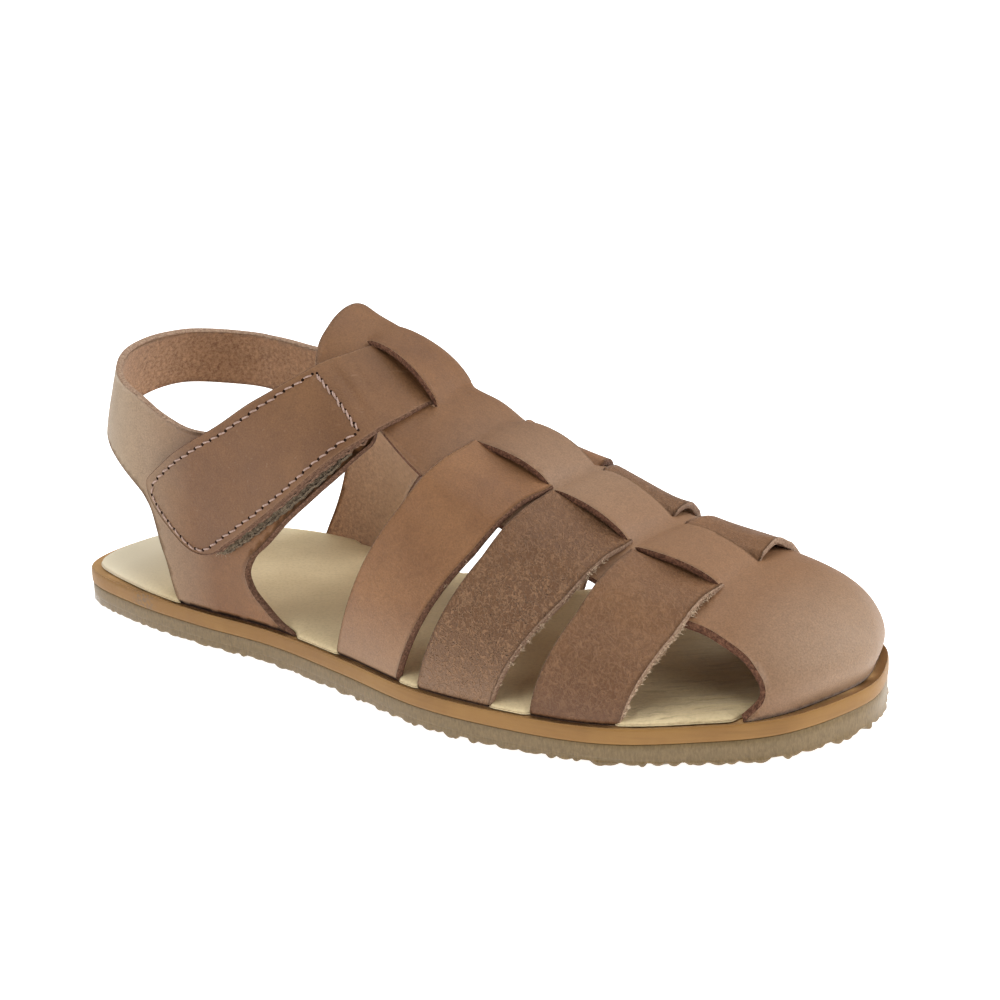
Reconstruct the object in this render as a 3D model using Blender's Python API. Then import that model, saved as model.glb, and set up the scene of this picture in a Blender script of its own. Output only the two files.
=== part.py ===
# Barefoot sandal, right shoe: toe along +X, medial side along +Y, standing on its sole.
# Sizes and tables are in millimetres, with the heel's back at along = 0, and MM turns them into metres.
# Leather pieces are cut as flat patterns, bent onto the last layer upon layer, and joined where they cross.
import math

import bmesh
import bpy
import numpy as np
from mathutils import Vector
from mathutils.geometry import delaunay_2d_cdt

MM = 0.001
LENGTH = 250.0
OUTSOLE_THICK = 5.8
MIDSOLE_THICK = 4.4
INSOLE_THICK = 2.0
LEATHER = 2.0
TAPE_THICK = 0.9
SEAT_GAP = 0.3
TOE_SPRING = 4.5
TREAD_SPRING = 2.9
SPRING_FROM = 0.72 * LENGTH
LEATHER_INSET = 2.7
INSOLE_INSET = 3.5
SINK = 0.4
NUB_COUNT = 92
NUB_HIGH = 1.0
NUB_DEEP = 0.6
NUB_RIM = 3.0

# Sole outline, right foot: from the heel's back along the lateral side to the toe and back.
# Columns: along, across.
SOLE_OUTLINE = np.array([
    (-0.5, -1), (2.8, -21), (26, -29.3), (55, -33), (85, -34.4), (115, -40.3), (145, -47.2), (172, -47.3),
    (200, -43), (220.5, -33.3), (240.5, -19.3), (250, 4), (247, 21.6), (237.3, 37.3), (220, 45),
    (195, 47), (170, 43.3), (140.5, 34.6), (110, 30), (80, 33), (52, 35.5), (26, 31), (7, 19),
], float)

# Sections of the last, measured to the inside of the leather: place and height of the ridge,
# flattening of each shoulder, and how far the sides swell past the base.
SECTION_COLUMNS = ("along", "ridge across", "ridge up", "lateral flat", "medial flat", "swell")
SECTIONS = np.array([
    (0, 0.0, 150.0, 0.0, 0.0, 0.0),
    (34, 0.5, 150.0, 0.0, 0.0, 0.0),
    (60, 1.0, 124.0, 0.0, 0.0, 0.0),
    (84, 2.5, 98.0, 0.0, 0.0, 0.5),
    (92, 3.0, 93.3, 0.5, 0.0, 0.6),
    (104.5, 4.0, 87.6, 1.0, -1.2, 0.8),
    (123, 5.0, 74.8, 1.5, -1.6, 1.0),
    (140, 6.0, 66.7, 2.0, 0.5, 1.0),
    (163, 7.5, 57.6, 2.0, 2.2, 1.0),
    (188, 8.0, 46.9, 2.5, 2.2, 1.2),
    (213.5, 9.5, 39.3, 1.0, -1.3, 1.0),
    (250, 9.5, 33.6, 0.0, 0.0, 0.6),
])
CAP_FROM = 213.5
CAP_ARC = 50.0
CAP_POWER = 4.0
CAP_ROOT = 0.42
SWELL_FADE = 12.0

# Rounded heel above the sole: middle of its arc, back at the heel strap's lower edge, and forward lean.
HEEL_MIDDLE = 36.0
HEEL_BACK = 6.2
HEEL_LEAN = 8.6
HEEL_STRAP_LOW = 45.0
HEEL_STRAP_TOP = 76.0

# Cross straps: places along the foot of their rear and front edges.
# Columns: lateral sole rear and front, lateral slit rear and front, medial slit rear and front,
# medial sole rear and front.
STRAPS = (
    (112.4, 137.5, 138.4, 161.3, 141.0, 164.1, 119.0, 144.0),
    (145.5, 168.5, 164.3, 185.8, 167.0, 188.0, 152.5, 175.5),
    (180.6, 203.8, 190.4, 212.9, 194.0, 217.0, 188.5, 211.5),
)
CLOSURE_SLITS = (101.0, 125.5, 101.5, 125.0)
STRAP_SWEEP = 1.15

# Slit lines across the vamp, as shares of a quarter turn from the ridge, lateral side negative.
# Columns: along, turn.
LATERAL_SLIT = (
    (90, -0.13), (130, -0.14), (140, -0.165), (163, -0.17), (188, -0.19), (214, -0.225), (264, -0.24),
)
MEDIAL_SLIT = (
    (90, 0.16), (124, 0.15), (141, 0.07), (164, 0.04), (188, 0.04), (214, 0.01), (264, 0.01),
)
SLIT_HALF = 0.35
HUMP = 2.6
ARCH = 1.4
ARCH_POWER = 0.6
UNDER = -0.2

# Vamp pattern edge from the tab's tip to the sole.
# Columns: along, lateral and medial turn, as shares of a quarter turn from the ridge.
VAMP_MARGIN = (
    (90.3, -0.265, 0.33), (92.8, -0.335, 0.41), (105, -0.335, 0.44), (116.5, -0.348, 0.45),
    (133, -0.371, 0.45), (159, -0.371, 0.38), (186, -0.370, 0.325), (203, -0.392, 0.325),
    (211, -0.420, 0.345), (216.5, -0.441, 0.38), (222.4, -0.491, 0.44), (228.4, -0.564, 0.53),
    (232.1, -0.652, 0.63), (234.6, -0.769, 0.76), (234.6, -0.873, 0.88), (231.0, -1.0, 1.0),
)
TAB_TIP = ((89.8, -0.17), (89.4, 0.03), (89.8, 0.24))

# Quarter pattern. Columns: distance round the base from the heel's back, lateral side negative, and height,
# where None stands for the seat on the midsole.
QUARTER_LOWER = (
    (-57.2, None), (-55, 16.2), (-52.8, 23.2), (-51, 27.5), (-49.5, 32.5), (-47.5, 37.8), (-44, 41.8),
    (-40.2, 44.9), (-34, 48.8), (-26.2, 52), (-15, 55.2), (-4, 57.8), (6, 59.4), (18, 60), (37, 58.4),
    (57.4, 57.1), (70, 56), (79, 52.5), (83.3, 47), (83.8, 42), (81.3, 33.5), (77, 23), (72.5, 14),
    (71, None),
)
QUARTER_MEDIAL_FRONT = (
    (116, None), (109.5, 15), (106, 20), (105, 24.5), (106, 29.5), (110, 35.5), (116, 42), (122, 49),
    (123, 54), (118, 58), (106, 63), (94, 68.5),
)
QUARTER_TOP = (
    (94, 68.5), (83, 71.5), (72, 72.3), (60.3, 73.5), (49, 74), (37.3, 74.8), (26.7, 75.8), (16, 76.6),
    (4.3, 77), (-9.6, 76.5), (-22, 74.8), (-33, 72.3), (-43.2, 69.7), (-51.8, 66), (-61.8, 63.1),
    (-69.5, 62.8), (-80, 63.6), (-92, 67.5), (-104, 71.5),
)
QUARTER_LATERAL_FRONT = (
    (-104, 71.5), (-113, 72.4), (-121, 70.8), (-125.5, 67.3), (-125.6, 64.3), (-122.8, 61.3),
    (-116.2, 54.9), (-110, 49.8), (-98.4, 40.6), (-91.8, 34.6), (-86.2, 29.6), (-84.4, 25.2),
    (-85.7, 21.4), (-90.9, 16.6), (-96.3, 12.9), (-102, None),
)

# Closure strap from the medial lap through the tab to its free end.
# Columns: upper edge along and turn, lower edge along and turn, distance of its inner face from the last.
CLOSURE = (
    (72.0, 0.63, 98.0, 0.68, 1.6),
    (84.0, 0.55, 110.0, 0.56, 1.6),
    (94.0, 0.42, 118.5, 0.42, 1.6),
    (101.0, 0.25, 122.5, 0.25, 1.6),
    (103.5, 0.15, 123.0, 0.15, 1.2),
    (103.5, 0.08, 123.0, 0.08, 1.0),
    (103.0, -0.06, 122.5, -0.06, 1.0),
    (102.8, -0.13, 122.0, -0.134, 1.4),
    (99.3, -0.222, 119.6, -0.245, 1.4),
    (94.8, -0.297, 116.2, -0.345, 3.0),
    (90.0, -0.383, 112.4, -0.440, 4.4),
    (79.0, -0.523, 103.5, -0.583, 4.8),
    (66.9, -0.655, 91.5, -0.706, 4.8),
    (50.9, -0.768, 78.4, -0.808, 4.8),
    (45.5, -0.803, 71.0, -0.858, 4.8),
    (40.0, -0.836, 64.1, -0.909, 4.8),
)
# Rounding of the free end's upper and lower corner, in rows of the table above.
TIP_CORNERS = (0.7, 1.0)

# Tapes between closure strap and quarter. Columns: name, closure rows where it starts and ends,
# shares across the closure strap at its upper and lower edge, distance of its inner face from the last.
TAPES = (
    ("loop_patch", 10.9, 14.2, 0.08, 1.05, LEATHER + SEAT_GAP),
    ("hook_patch", 10.9, 14.2, 0.08, 0.95, LEATHER + TAPE_THICK + 2 * SEAT_GAP),
)

SHEET_STEP = 6.0
BAND_STEP = 6.0
EDGE_STEP = 4.4
SLIT_STEP = 5.5
STRAP_ROWS = 40
STRAP_COLS = 3
CLOSURE_ROWS = 42
CLOSURE_COLS = 6
SOLE_STEP = 16.0
RING_COUNT = 120

# name: base colour in linear light, roughness
FINISHES = {
    "leather": ((0.255, 0.125, 0.075), 0.55),
    "footbed": ((0.60, 0.49, 0.31), 0.60),
    "tan_sheet": ((0.55, 0.25, 0.07), 0.40),
    "crepe": ((0.20, 0.17, 0.12), 0.45),
    "tape": ((0.10, 0.095, 0.075), 0.95),
}


def smooth_curve(knots, values, x):
    """Cubic curve through the knots, with slopes weighted by the spans beside each knot."""
    spans = np.diff(knots)
    rise = np.diff(values) / spans
    inner = (rise[:-1] * spans[1:] + rise[1:] * spans[:-1]) / (spans[:-1] + spans[1:])
    slope = np.concatenate([rise[:1], inner, rise[-1:]])
    i = np.clip(np.searchsorted(knots, x) - 1, 0, len(spans) - 1)
    t = (x - knots[i]) / spans[i]
    start = (1 + 2 * t) * (1 - t) ** 2 * values[i] + t * (1 - t) ** 2 * spans[i] * slope[i]
    return start + t * t * (3 - 2 * t) * values[i + 1] + t * t * (t - 1) * spans[i] * slope[i + 1]


def through(points, step):
    """Points every step along a smooth open curve through the given points."""
    points = np.array(points, float)
    if len(points) < 3:
        share = np.linspace(0, 1, max(2, int(np.linalg.norm(points[1] - points[0]) / step) + 1))[:, None]
        return points[0] + (points[1] - points[0]) * share
    chord = np.concatenate([[0], np.cumsum(np.linalg.norm(np.diff(points, axis=0), axis=1))])
    at = np.linspace(0, chord[-1], max(3, int(chord[-1] / step) + 1))
    return np.stack([smooth_curve(chord, points[:, k], at) for k in (0, 1)], axis=1)


def closed_curve(points, per_span):
    """Catmull-Rom loop through the points."""
    before, here, after, beyond = (np.roll(points, -k, axis=0)[:, None] for k in (-1, 0, 1, 2))
    t = np.linspace(0, 1, per_span, endpoint=False)[None, :, None]
    square = (2 * before - 5 * here + 4 * after - beyond) * t ** 2
    cube = (3 * here - before - 3 * after + beyond) * t ** 3
    return (0.5 * (2 * here + (after - before) * t + square + cube)).reshape(-1, 2)


def inset_loop(loop, distance):
    along = np.roll(loop, -1, axis=0) - np.roll(loop, 1, axis=0)
    along /= np.linalg.norm(along, axis=1)[:, None]
    return loop + np.reshape(distance, (-1, 1)) * np.stack([-along[:, 1], along[:, 0]], axis=1)


def even_loop(loop, count):
    """The loop again, with its points evenly spaced."""
    ring = np.vstack([loop, loop[:1]])
    run = np.concatenate([[0], np.cumsum(np.linalg.norm(np.diff(ring, axis=0), axis=1))])
    at = np.linspace(0, run[-1], count, endpoint=False)
    return np.stack([np.interp(at, run, ring[:, k]) for k in (0, 1)], axis=1)


def side_lines(loop):
    """The loop's lateral and medial halves, each from the heel's back to the toe."""
    loop = np.roll(loop, -int(loop[:, 0].argmin()), axis=0)
    toe = int(loop[:, 0].argmax())
    return loop[:toe + 1], np.vstack([loop[toe:], loop[:1]])[::-1]


def run_length(line):
    return np.concatenate([[0], np.cumsum(np.linalg.norm(np.diff(line, axis=0), axis=1))])


OUTLINE = closed_curve(SOLE_OUTLINE, 24)
LATERAL, MEDIAL = side_lines(inset_loop(OUTLINE, LEATHER_INSET))
TIP = LATERAL[-1]
LATERAL_RUN, MEDIAL_RUN = -run_length(LATERAL), run_length(MEDIAL)
ROUND_RUN = np.concatenate([LATERAL_RUN[::-1], MEDIAL_RUN[1:]])
ROUND_LINE = np.vstack([LATERAL[::-1], MEDIAL[1:]])
MIDDLE = (OUTLINE.min(axis=0) + OUTLINE.max(axis=0)) / 2


def sprung(along, lift):
    """Height gained towards the toe, for a given lift at the tip."""
    return lift * np.clip((along - SPRING_FROM) / (LENGTH - SPRING_FROM), 0, None) ** 2


def seat(along):
    """Height where leather ends, just above the midsole."""
    return OUTSOLE_THICK + SEAT_GAP + MIDSOLE_THICK + SEAT_GAP + sprung(along, TOE_SPRING)


def section(column, along):
    return smooth_curve(SECTIONS[:, 0], SECTIONS[:, SECTION_COLUMNS.index(column)], along)


def ridge(along):
    """Across and height of the last's ridge, rounded down to the sole at the toe."""
    share = np.clip((along - CAP_FROM) / (TIP[0] - CAP_FROM), 0, 1)
    across = section("ridge across", along)
    across = across + (TIP[1] - across) * share ** 2
    top = section("ridge up", along)
    return across, seat(along) + (top - seat(along)) * (1 - share ** CAP_POWER) ** CAP_ROOT


def shoulder_flat(side, along):
    return np.where(side < 0, section("lateral flat", along), section("medial flat", along))


def along_of(pattern):
    """Place along the foot of a pattern length; over the toe cap the length follows the arc to the tip."""
    arc = np.clip((pattern - CAP_FROM) / CAP_ARC, 0, 1) * math.pi / 2
    return np.where(pattern > CAP_FROM, CAP_FROM + (TIP[0] - CAP_FROM) * np.sin(arc), pattern)


def pattern_of(along):
    """Pattern length of a place along the foot."""
    share = np.clip((along - CAP_FROM) / (TIP[0] - CAP_FROM), 0, 1)
    return np.where(along > CAP_FROM, CAP_FROM + CAP_ARC * np.arcsin(share) / (math.pi / 2), along)


def last_point(pattern, turn):
    """The last's surface: turn is -1 at the lateral base, 0 on the ridge and 1 at the medial base."""
    along = along_of(pattern)
    ridge_across, ridge_up = ridge(along)
    lateral = np.interp(along, LATERAL[:, 0], LATERAL[:, 1])
    medial = np.interp(along, MEDIAL[:, 0], MEDIAL[:, 1])
    reach = np.where(turn < 0, lateral, medial) - ridge_across
    angle = np.abs(turn) * math.pi / 2
    fade = np.clip((TIP[0] - along) / SWELL_FADE, 0, 1)
    swell = np.sign(reach) * section("swell", along) * fade * np.sin(2 * angle)
    flat = shoulder_flat(turn, along) * fade * np.sin(2 * angle) ** 2
    across = ridge_across + reach * np.sin(angle) + swell
    up = seat(along) + (ridge_up - seat(along)) * np.cos(angle) - flat
    return np.stack([along, across, up], axis=-1)


def unit(vectors):
    return vectors / (np.linalg.norm(vectors, axis=-1, keepdims=True) + 1e-12)


def on_last(pattern, turn, offset):
    """Points at a distance outside the last."""
    lengthwise = last_point(pattern + 0.8, turn) - last_point(pattern - 0.8, turn)
    crosswise = last_point(pattern, turn + 0.004) - last_point(pattern, turn - 0.004)
    normal = unit(np.cross(lengthwise, crosswise))
    at_tip = (pattern > CAP_FROM + CAP_ARC - 0.8)[..., None]
    normal = np.where(at_tip, np.array([1.0, 0.0, 0.0]), normal)
    return last_point(pattern, turn) + normal * np.asarray(offset)[..., None]


def heel_point(around, up):
    """The last's surface by distance round the base and height, with the heel rounded above the sole."""
    base_along = np.interp(around, ROUND_RUN, ROUND_LINE[:, 0])
    base_across = np.interp(around, ROUND_RUN, ROUND_LINE[:, 1])
    lateral_run = np.interp(HEEL_MIDDLE, LATERAL[:, 0], LATERAL_RUN)
    medial_run = np.interp(HEEL_MIDDLE, MEDIAL[:, 0], MEDIAL_RUN)
    half = np.where(around < 0, -lateral_run, medial_run)
    wide = np.where(around < 0, -np.interp(HEEL_MIDDLE, *LATERAL.T), np.interp(HEEL_MIDDLE, *MEDIAL.T))
    angle = np.clip(around / half, -1, 1) * math.pi / 2
    rise = np.clip((up - HEEL_STRAP_LOW) / (HEEL_STRAP_TOP - HEEL_STRAP_LOW), 0, 1.3)
    back = HEEL_BACK + HEEL_LEAN * rise ** 1.5
    blend = np.clip((up - 12) / 30, 0, 1)
    blend = np.where(np.abs(around) < half, blend * blend * (3 - 2 * blend), 0)
    along = base_along + (HEEL_MIDDLE - (HEEL_MIDDLE - back) * np.cos(angle) - base_along) * blend
    across = base_across + (wide * np.sin(angle) - base_across) * blend
    ridge_across, ridge_up = ridge(along)
    height = np.clip((up - seat(along)) / (ridge_up - seat(along)), 0, 0.97)
    flat = shoulder_flat(around, along) * 4 * height ** 2 * (1 - height ** 2)
    height = np.clip((up + flat - seat(along)) / (ridge_up - seat(along)), 0, 0.97)
    level = np.sqrt(1 - height ** 2)
    swell = np.sign(across - ridge_across) * section("swell", along) * 2 * level * height
    return np.stack([along, ridge_across + (across - ridge_across) * level + swell, up], axis=-1)


def on_heel(around, up, offset):
    lengthwise = heel_point(around + 0.5, up) - heel_point(around - 0.5, up)
    upright = heel_point(around, up + 0.3) - heel_point(around, up - 0.3)
    return heel_point(around, up) + unit(np.cross(upright, lengthwise)) * np.asarray(offset)[..., None]


def inside(points, loops):
    """Even-odd test of points against closed loops."""
    found = np.zeros(len(points), bool)
    for loop in loops:
        for a, b in zip(loop, np.roll(loop, -1, axis=0)):
            if a[1] != b[1]:
                crossing = (points[:, 1] < a[1]) != (points[:, 1] < b[1])
                share = (points[:, 1] - a[1]) / (b[1] - a[1])
                found ^= crossing & (points[:, 0] < a[0] + share * (b[0] - a[0]))
    return found


def cut_pattern(loops, fill, flat=np.copy):
    """Triangles of a pattern from outline, slits and fill points clear of them, as laid out by flat."""
    plane_loops = [flat(loop) for loop in loops]
    rim = np.vstack(plane_loops)
    plane_fill = flat(fill)
    nearest = np.sqrt(((plane_fill[:, None] - rim[None]) ** 2).sum(axis=2)).min(axis=1)
    keep = inside(plane_fill, plane_loops) & (nearest > 0.4 * EDGE_STEP)
    points = np.vstack([*loops, fill[keep]])
    plane = np.vstack([rim, plane_fill[keep]])
    edges = []
    start = 0
    for loop in loops:
        count = len(loop)
        edges += [(start + k, start + (k + 1) % count) for k in range(count)]
        start += count
    made = delaunay_2d_cdt([Vector(p) for p in plane], edges, [], 1, 1e-5)
    faces = np.array([[made[3][k][0] for k in face] for face in made[2]])
    return points, faces[inside(plane[faces].mean(axis=1), plane_loops)]


def grid_pattern(rows, cols):
    """Triangles of a plain rectangle, rows along it and cols across, with both shares from 0 to 1."""
    along, across = np.meshgrid(np.linspace(0, 1, rows + 1), np.linspace(0, 1, cols + 1), indexing="ij")
    index = np.arange((rows + 1) * (cols + 1)).reshape(rows + 1, cols + 1)
    a, b = index[:-1, :-1].ravel(), index[1:, :-1].ravel()
    c, d = index[1:, 1:].ravel(), index[:-1, 1:].ravel()
    faces = np.vstack([np.stack([a, b, c], axis=1), np.stack([a, c, d], axis=1)])
    return np.stack([along.ravel(), across.ravel()], axis=1), faces


def finish(name):
    """The Principled material of that name."""
    made = bpy.data.materials.get(name)
    if made is None:
        colour, rough = FINISHES[name]
        made = bpy.data.materials.new(name)
        made.use_nodes = True
        shader = made.node_tree.nodes["Principled BSDF"]
        shader.inputs["Base Color"].default_value = (*colour, 1)
        shader.inputs["Roughness"].default_value = rough
        shader.inputs["Metallic"].default_value = 0
    return made


def solid(name, points, faces, material):
    """An object from points in millimetres and faces, welded, with its faces turned outwards."""
    shape = bmesh.new()
    corners = [shape.verts.new(Vector(p - np.array([*MIDDLE, 0])) * MM) for p in points]
    for face in faces:
        shape.faces.new([corners[int(k)] for k in face])
    bmesh.ops.remove_doubles(shape, verts=shape.verts[:], dist=1e-6)
    bmesh.ops.dissolve_degenerate(shape, edges=shape.edges[:], dist=1e-6)
    bmesh.ops.triangulate(shape, faces=shape.faces[:])
    bmesh.ops.recalc_face_normals(shape, faces=shape.faces[:])
    mesh = bpy.data.meshes.new(name)
    shape.to_mesh(mesh)
    shape.free()
    mesh.materials.append(finish(material))
    made = bpy.data.objects.new(name, mesh)
    bpy.context.scene.collection.objects.link(made)
    return made


def rim_edges(faces):
    """Edges that only one triangle uses, in that triangle's direction."""
    sides = np.vstack([faces[:, [0, 1]], faces[:, [1, 2]], faces[:, [2, 0]]])
    key = np.sort(sides, axis=1)
    _, index, count = np.unique(key, axis=0, return_inverse=True, return_counts=True)
    return sides[count[index.reshape(-1)] == 1]


def thick_sheet(name, faces, lower, upper, material):
    """A closed sheet between two layers of the same pattern."""
    count = len(lower)
    walls = [(b, a, a + count, b + count) for a, b in rim_edges(faces)]
    every = [tuple(f) for f in faces + count] + [tuple(f[::-1]) for f in faces] + walls
    return solid(name, np.vstack([lower, upper]), every, material)


def ring_at(count, inset, up, lift):
    """A ring of the sole's outline, drawn in, at a height over a floor that lifts towards the toe."""
    loop = inset_loop(even_loop(OUTLINE, count), inset)
    return np.column_stack([loop, up + sprung(loop[:, 0], lift)])


def sole_layer(name, profile, count, material):
    """A sole piece from rings, low to high, with triangulated ends that follow each end's own lift."""
    rings = [ring_at(count, *row) for row in profile]
    across = np.arange(-LENGTH / 4, LENGTH / 4, SOLE_STEP * 2)
    fill = np.stack(np.meshgrid(np.arange(0, LENGTH, SOLE_STEP), across), axis=-1).reshape(-1, 2)
    points, faces = [], []
    total = 0
    for row, ring, turn in ((profile[0], rings[0], -1), (profile[-1], rings[-1], 1)):
        flat, caps = cut_pattern([ring[:, :2]], fill)
        up = np.min(row[1]) + sprung(flat[:, 0], row[2])
        up[:count] = ring[:, 2]
        points.append(np.column_stack([flat, up]))
        faces += [tuple(f[::turn] + total) for f in caps]
        total += len(flat)
    starts = [0, *range(total, total + count * (len(rings) - 2), count), len(points[0])]
    points += rings[1:-1]
    for low, high in zip(starts, starts[1:]):
        for k in range(count):
            follow = (k + 1) % count
            faces.append((low + k, low + follow, high + follow, high + k))
    return solid(name, np.vstack(points), faces, material)


def make_outsole():
    """Rubber sole: flat below, with a nubbed lower rim and a plain upper band."""
    notch = np.where(np.arange(NUB_COUNT * 2) % 2 == 0, 1.0, 0.0)
    profile = (
        (NUB_RIM, 0.0, TREAD_SPRING),
        (0.4 + NUB_DEEP * notch, NUB_HIGH * notch, TREAD_SPRING),
        (0.1 + NUB_DEEP * notch, 0.7 + NUB_HIGH * notch, TREAD_SPRING),
        (0.25, 2.6, TREAD_SPRING),
        (0.25, OUTSOLE_THICK, TOE_SPRING),
    )
    return sole_layer("outsole", profile, NUB_COUNT * 2, "crepe")


def make_midsole():
    """Tan sheet that stands a little proud of the rubber, with softened edges."""
    low = OUTSOLE_THICK + SEAT_GAP
    profile = ((0.5, 0.0), (0.0, 0.5), (0.0, MIDSOLE_THICK - 0.4), (0.4, MIDSOLE_THICK))
    rows = [(inset, low + up, TOE_SPRING) for inset, up in profile]
    return sole_layer("midsole", rows, RING_COUNT, "tan_sheet")


def make_insole():
    """Footbed with a rounded upper edge, its sides clear of the straps' ends."""
    low = OUTSOLE_THICK + MIDSOLE_THICK + 2 * SEAT_GAP
    profile = ((0.0, 0.0), (0.0, 1.1), (0.5, 1.7), (1.6, INSOLE_THICK))
    rows = [(INSOLE_INSET + inset, low + up, TOE_SPRING) for inset, up in profile]
    return sole_layer("insole", rows, RING_COUNT, "footbed")


def vamp_flat(points):
    """Lays vamp pattern points out flat: the toe cap as a half disc round its tip, the rest as a band."""
    reach = CAP_FROM + CAP_ARC - points[:, 0]
    angle = points[:, 1] / 100 * math.pi / 2
    disc = np.minimum(reach, CAP_ARC)
    return np.stack([disc - reach - disc * np.cos(angle), disc * np.sin(angle)], axis=1)


def vamp_unflat(points):
    """Pattern points from places on the flat vamp."""
    angle = np.arcsin(np.clip(points[:, 1] / CAP_ARC, -1, 1))
    reach = CAP_ARC - points[:, 0] - CAP_ARC * np.cos(angle)
    disc = np.linalg.norm(points, axis=1)
    on_disc = (disc < CAP_ARC) & (points[:, 0] < 0)
    angle = np.where(on_disc, np.arctan2(points[:, 1], -points[:, 0]), angle)
    pattern = CAP_FROM + CAP_ARC - np.where(on_disc, disc, reach)
    return np.stack([pattern, angle / (math.pi / 2) * 100], axis=1)


def slit_line(table, along):
    return np.interp(along, *np.array(table).T)


def slit_loop(start, end, table):
    """A narrow slot in the vamp pattern, in pattern units, with pointed ends."""
    along = np.linspace(start, end, max(4, int((end - start) / SLIT_STEP) + 2))
    across = slit_line(table, along) * 100
    pattern = pattern_of(along)
    bank = np.full(len(along), SLIT_HALF)
    bank[[0, -1]] = 0
    there = np.column_stack([pattern, across + bank])
    back = np.column_stack([pattern, across - bank])[::-1]
    return np.vstack([there, back[1:-1]])


def bar_arch(along, turn):
    """Share of the centre bar's rise over a strap, from 0 at the slit's ends to 1 between."""
    lateral, medial = slit_line(LATERAL_SLIT, along), slit_line(MEDIAL_SLIT, along)
    share = np.clip((turn - lateral) / (medial - lateral), 0, 1)
    rise = np.zeros(len(along))
    runs = [row[2:6] for row in STRAPS] + [CLOSURE_SLITS]
    for lateral_rear, lateral_front, medial_rear, medial_front in runs:
        rear = lateral_rear + (medial_rear - lateral_rear) * share
        front = lateral_front + (medial_front - lateral_front) * share
        place = np.clip((along - rear) / (front - rear), 0, 1)
        rise = np.maximum(rise, np.sin(math.pi * place) ** ARCH_POWER)
    return rise


def on_bar(along, turn):
    return (turn > slit_line(LATERAL_SLIT, along)) & (turn < slit_line(MEDIAL_SLIT, along))


def make_vamp():
    """Toe cap, centre bar and instep tab, cut in one with slits for the straps."""
    margin = np.array(VAMP_MARGIN)
    lateral = np.column_stack([pattern_of(margin[:, 0]), margin[:, 1] * 100])
    medial = np.column_stack([pattern_of(margin[:, 0]), margin[:, 2] * 100])
    tip = np.array(TAB_TIP) * (1, 100)
    edge = through(np.vstack([medial[::-1], tip[::-1], lateral]), EDGE_STEP)
    sole_end = CAP_FROM + CAP_ARC
    lateral_base = through([lateral[-1], (sole_end, -100)], EDGE_STEP)
    medial_base = through([(sole_end, 100), medial[-1]], EDGE_STEP)
    outline = np.vstack([edge[:-1], lateral_base[:-1], [(sole_end, 0)], medial_base[1:-1]])
    loops = [outline]
    for row in STRAPS:
        loops.append(slit_loop(row[2], row[3], LATERAL_SLIT))
        loops.append(slit_loop(row[4], row[5], MEDIAL_SLIT))
    loops.append(slit_loop(CLOSURE_SLITS[0], CLOSURE_SLITS[1], LATERAL_SLIT))
    loops.append(slit_loop(CLOSURE_SLITS[2], CLOSURE_SLITS[3], MEDIAL_SLIT))
    tab_end = margin[0, 0] - sole_end
    length, width = np.meshgrid(np.arange(tab_end, 0, SHEET_STEP), np.arange(-CAP_ARC, CAP_ARC, SHEET_STEP))
    length[::2] += SHEET_STEP / 2
    fill = vamp_unflat(np.stack([length.ravel(), width.ravel()], axis=1))
    points, faces = cut_pattern(loops, fill, vamp_flat)
    pattern, turn = points[:, 0], points[:, 1] / 100
    along = along_of(pattern)
    rise = HUMP * np.where(on_bar(along, turn), bar_arch(along, turn), 0)
    lower = on_last(pattern, turn, rise)
    return thick_sheet("vamp", faces, lower, on_last(pattern, turn, rise + LEATHER), "leather")


def strap_layer(along, turn, middle):
    """Layer of a cross strap: over the vamp's margins, arched under its bar, on the last elsewhere."""
    margin = np.array(VAMP_MARGIN)
    left, right = (np.interp(middle, margin[:, 0], margin[:, k]) for k in (1, 2))
    near, far = slit_line(LATERAL_SLIT, middle), slit_line(MEDIAL_SLIT, middle)
    lateral = (-1, left - 0.12, left, near - 0.03, near + 0.03)
    stations = (*lateral, far - 0.04, far + 0.04, right, right + 0.15, 1)
    over = LEATHER - SINK
    layers = (UNDER, UNDER, over, over, UNDER, UNDER, over, over, UNDER, UNDER)
    under_bar = np.interp(turn, (near, near + 0.03, far - 0.04, far), (0, 1, 1, 0))
    return np.interp(turn, stations, layers) + ARCH * under_bar * bar_arch(along, turn)


def make_strap(number, row):
    """A strap from sole to sole, swept forward towards the slits."""
    points, faces = grid_pattern(STRAP_ROWS, STRAP_COLS)
    turn, across = points[:, 0] * 2 - 1, points[:, 1]
    middle = (row[2] + row[3]) / 2
    near, far = slit_line(LATERAL_SLIT, middle), slit_line(MEDIAL_SLIT, middle)
    lateral = np.clip((near - turn) / (near + 1), 0, 1) ** STRAP_SWEEP
    medial = np.clip((turn - far) / (1 - far), 0, 1) ** STRAP_SWEEP
    bar = np.clip((turn - near) / (far - near), 0, 1)
    edges = []
    for k in (0, 1):
        under = row[2 + k] + (row[4 + k] - row[2 + k]) * bar
        edges.append(under + (row[k] - row[2 + k]) * lateral + (row[6 + k] - row[4 + k]) * medial)
    along = edges[0] + (edges[1] - edges[0]) * across
    layer = strap_layer(along, turn, middle)
    lower, upper = (on_last(pattern_of(along), turn, layer + thick) for thick in (0, LEATHER))
    return thick_sheet(f"cross_strap_{number}", faces, lower, upper, "leather")


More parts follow.
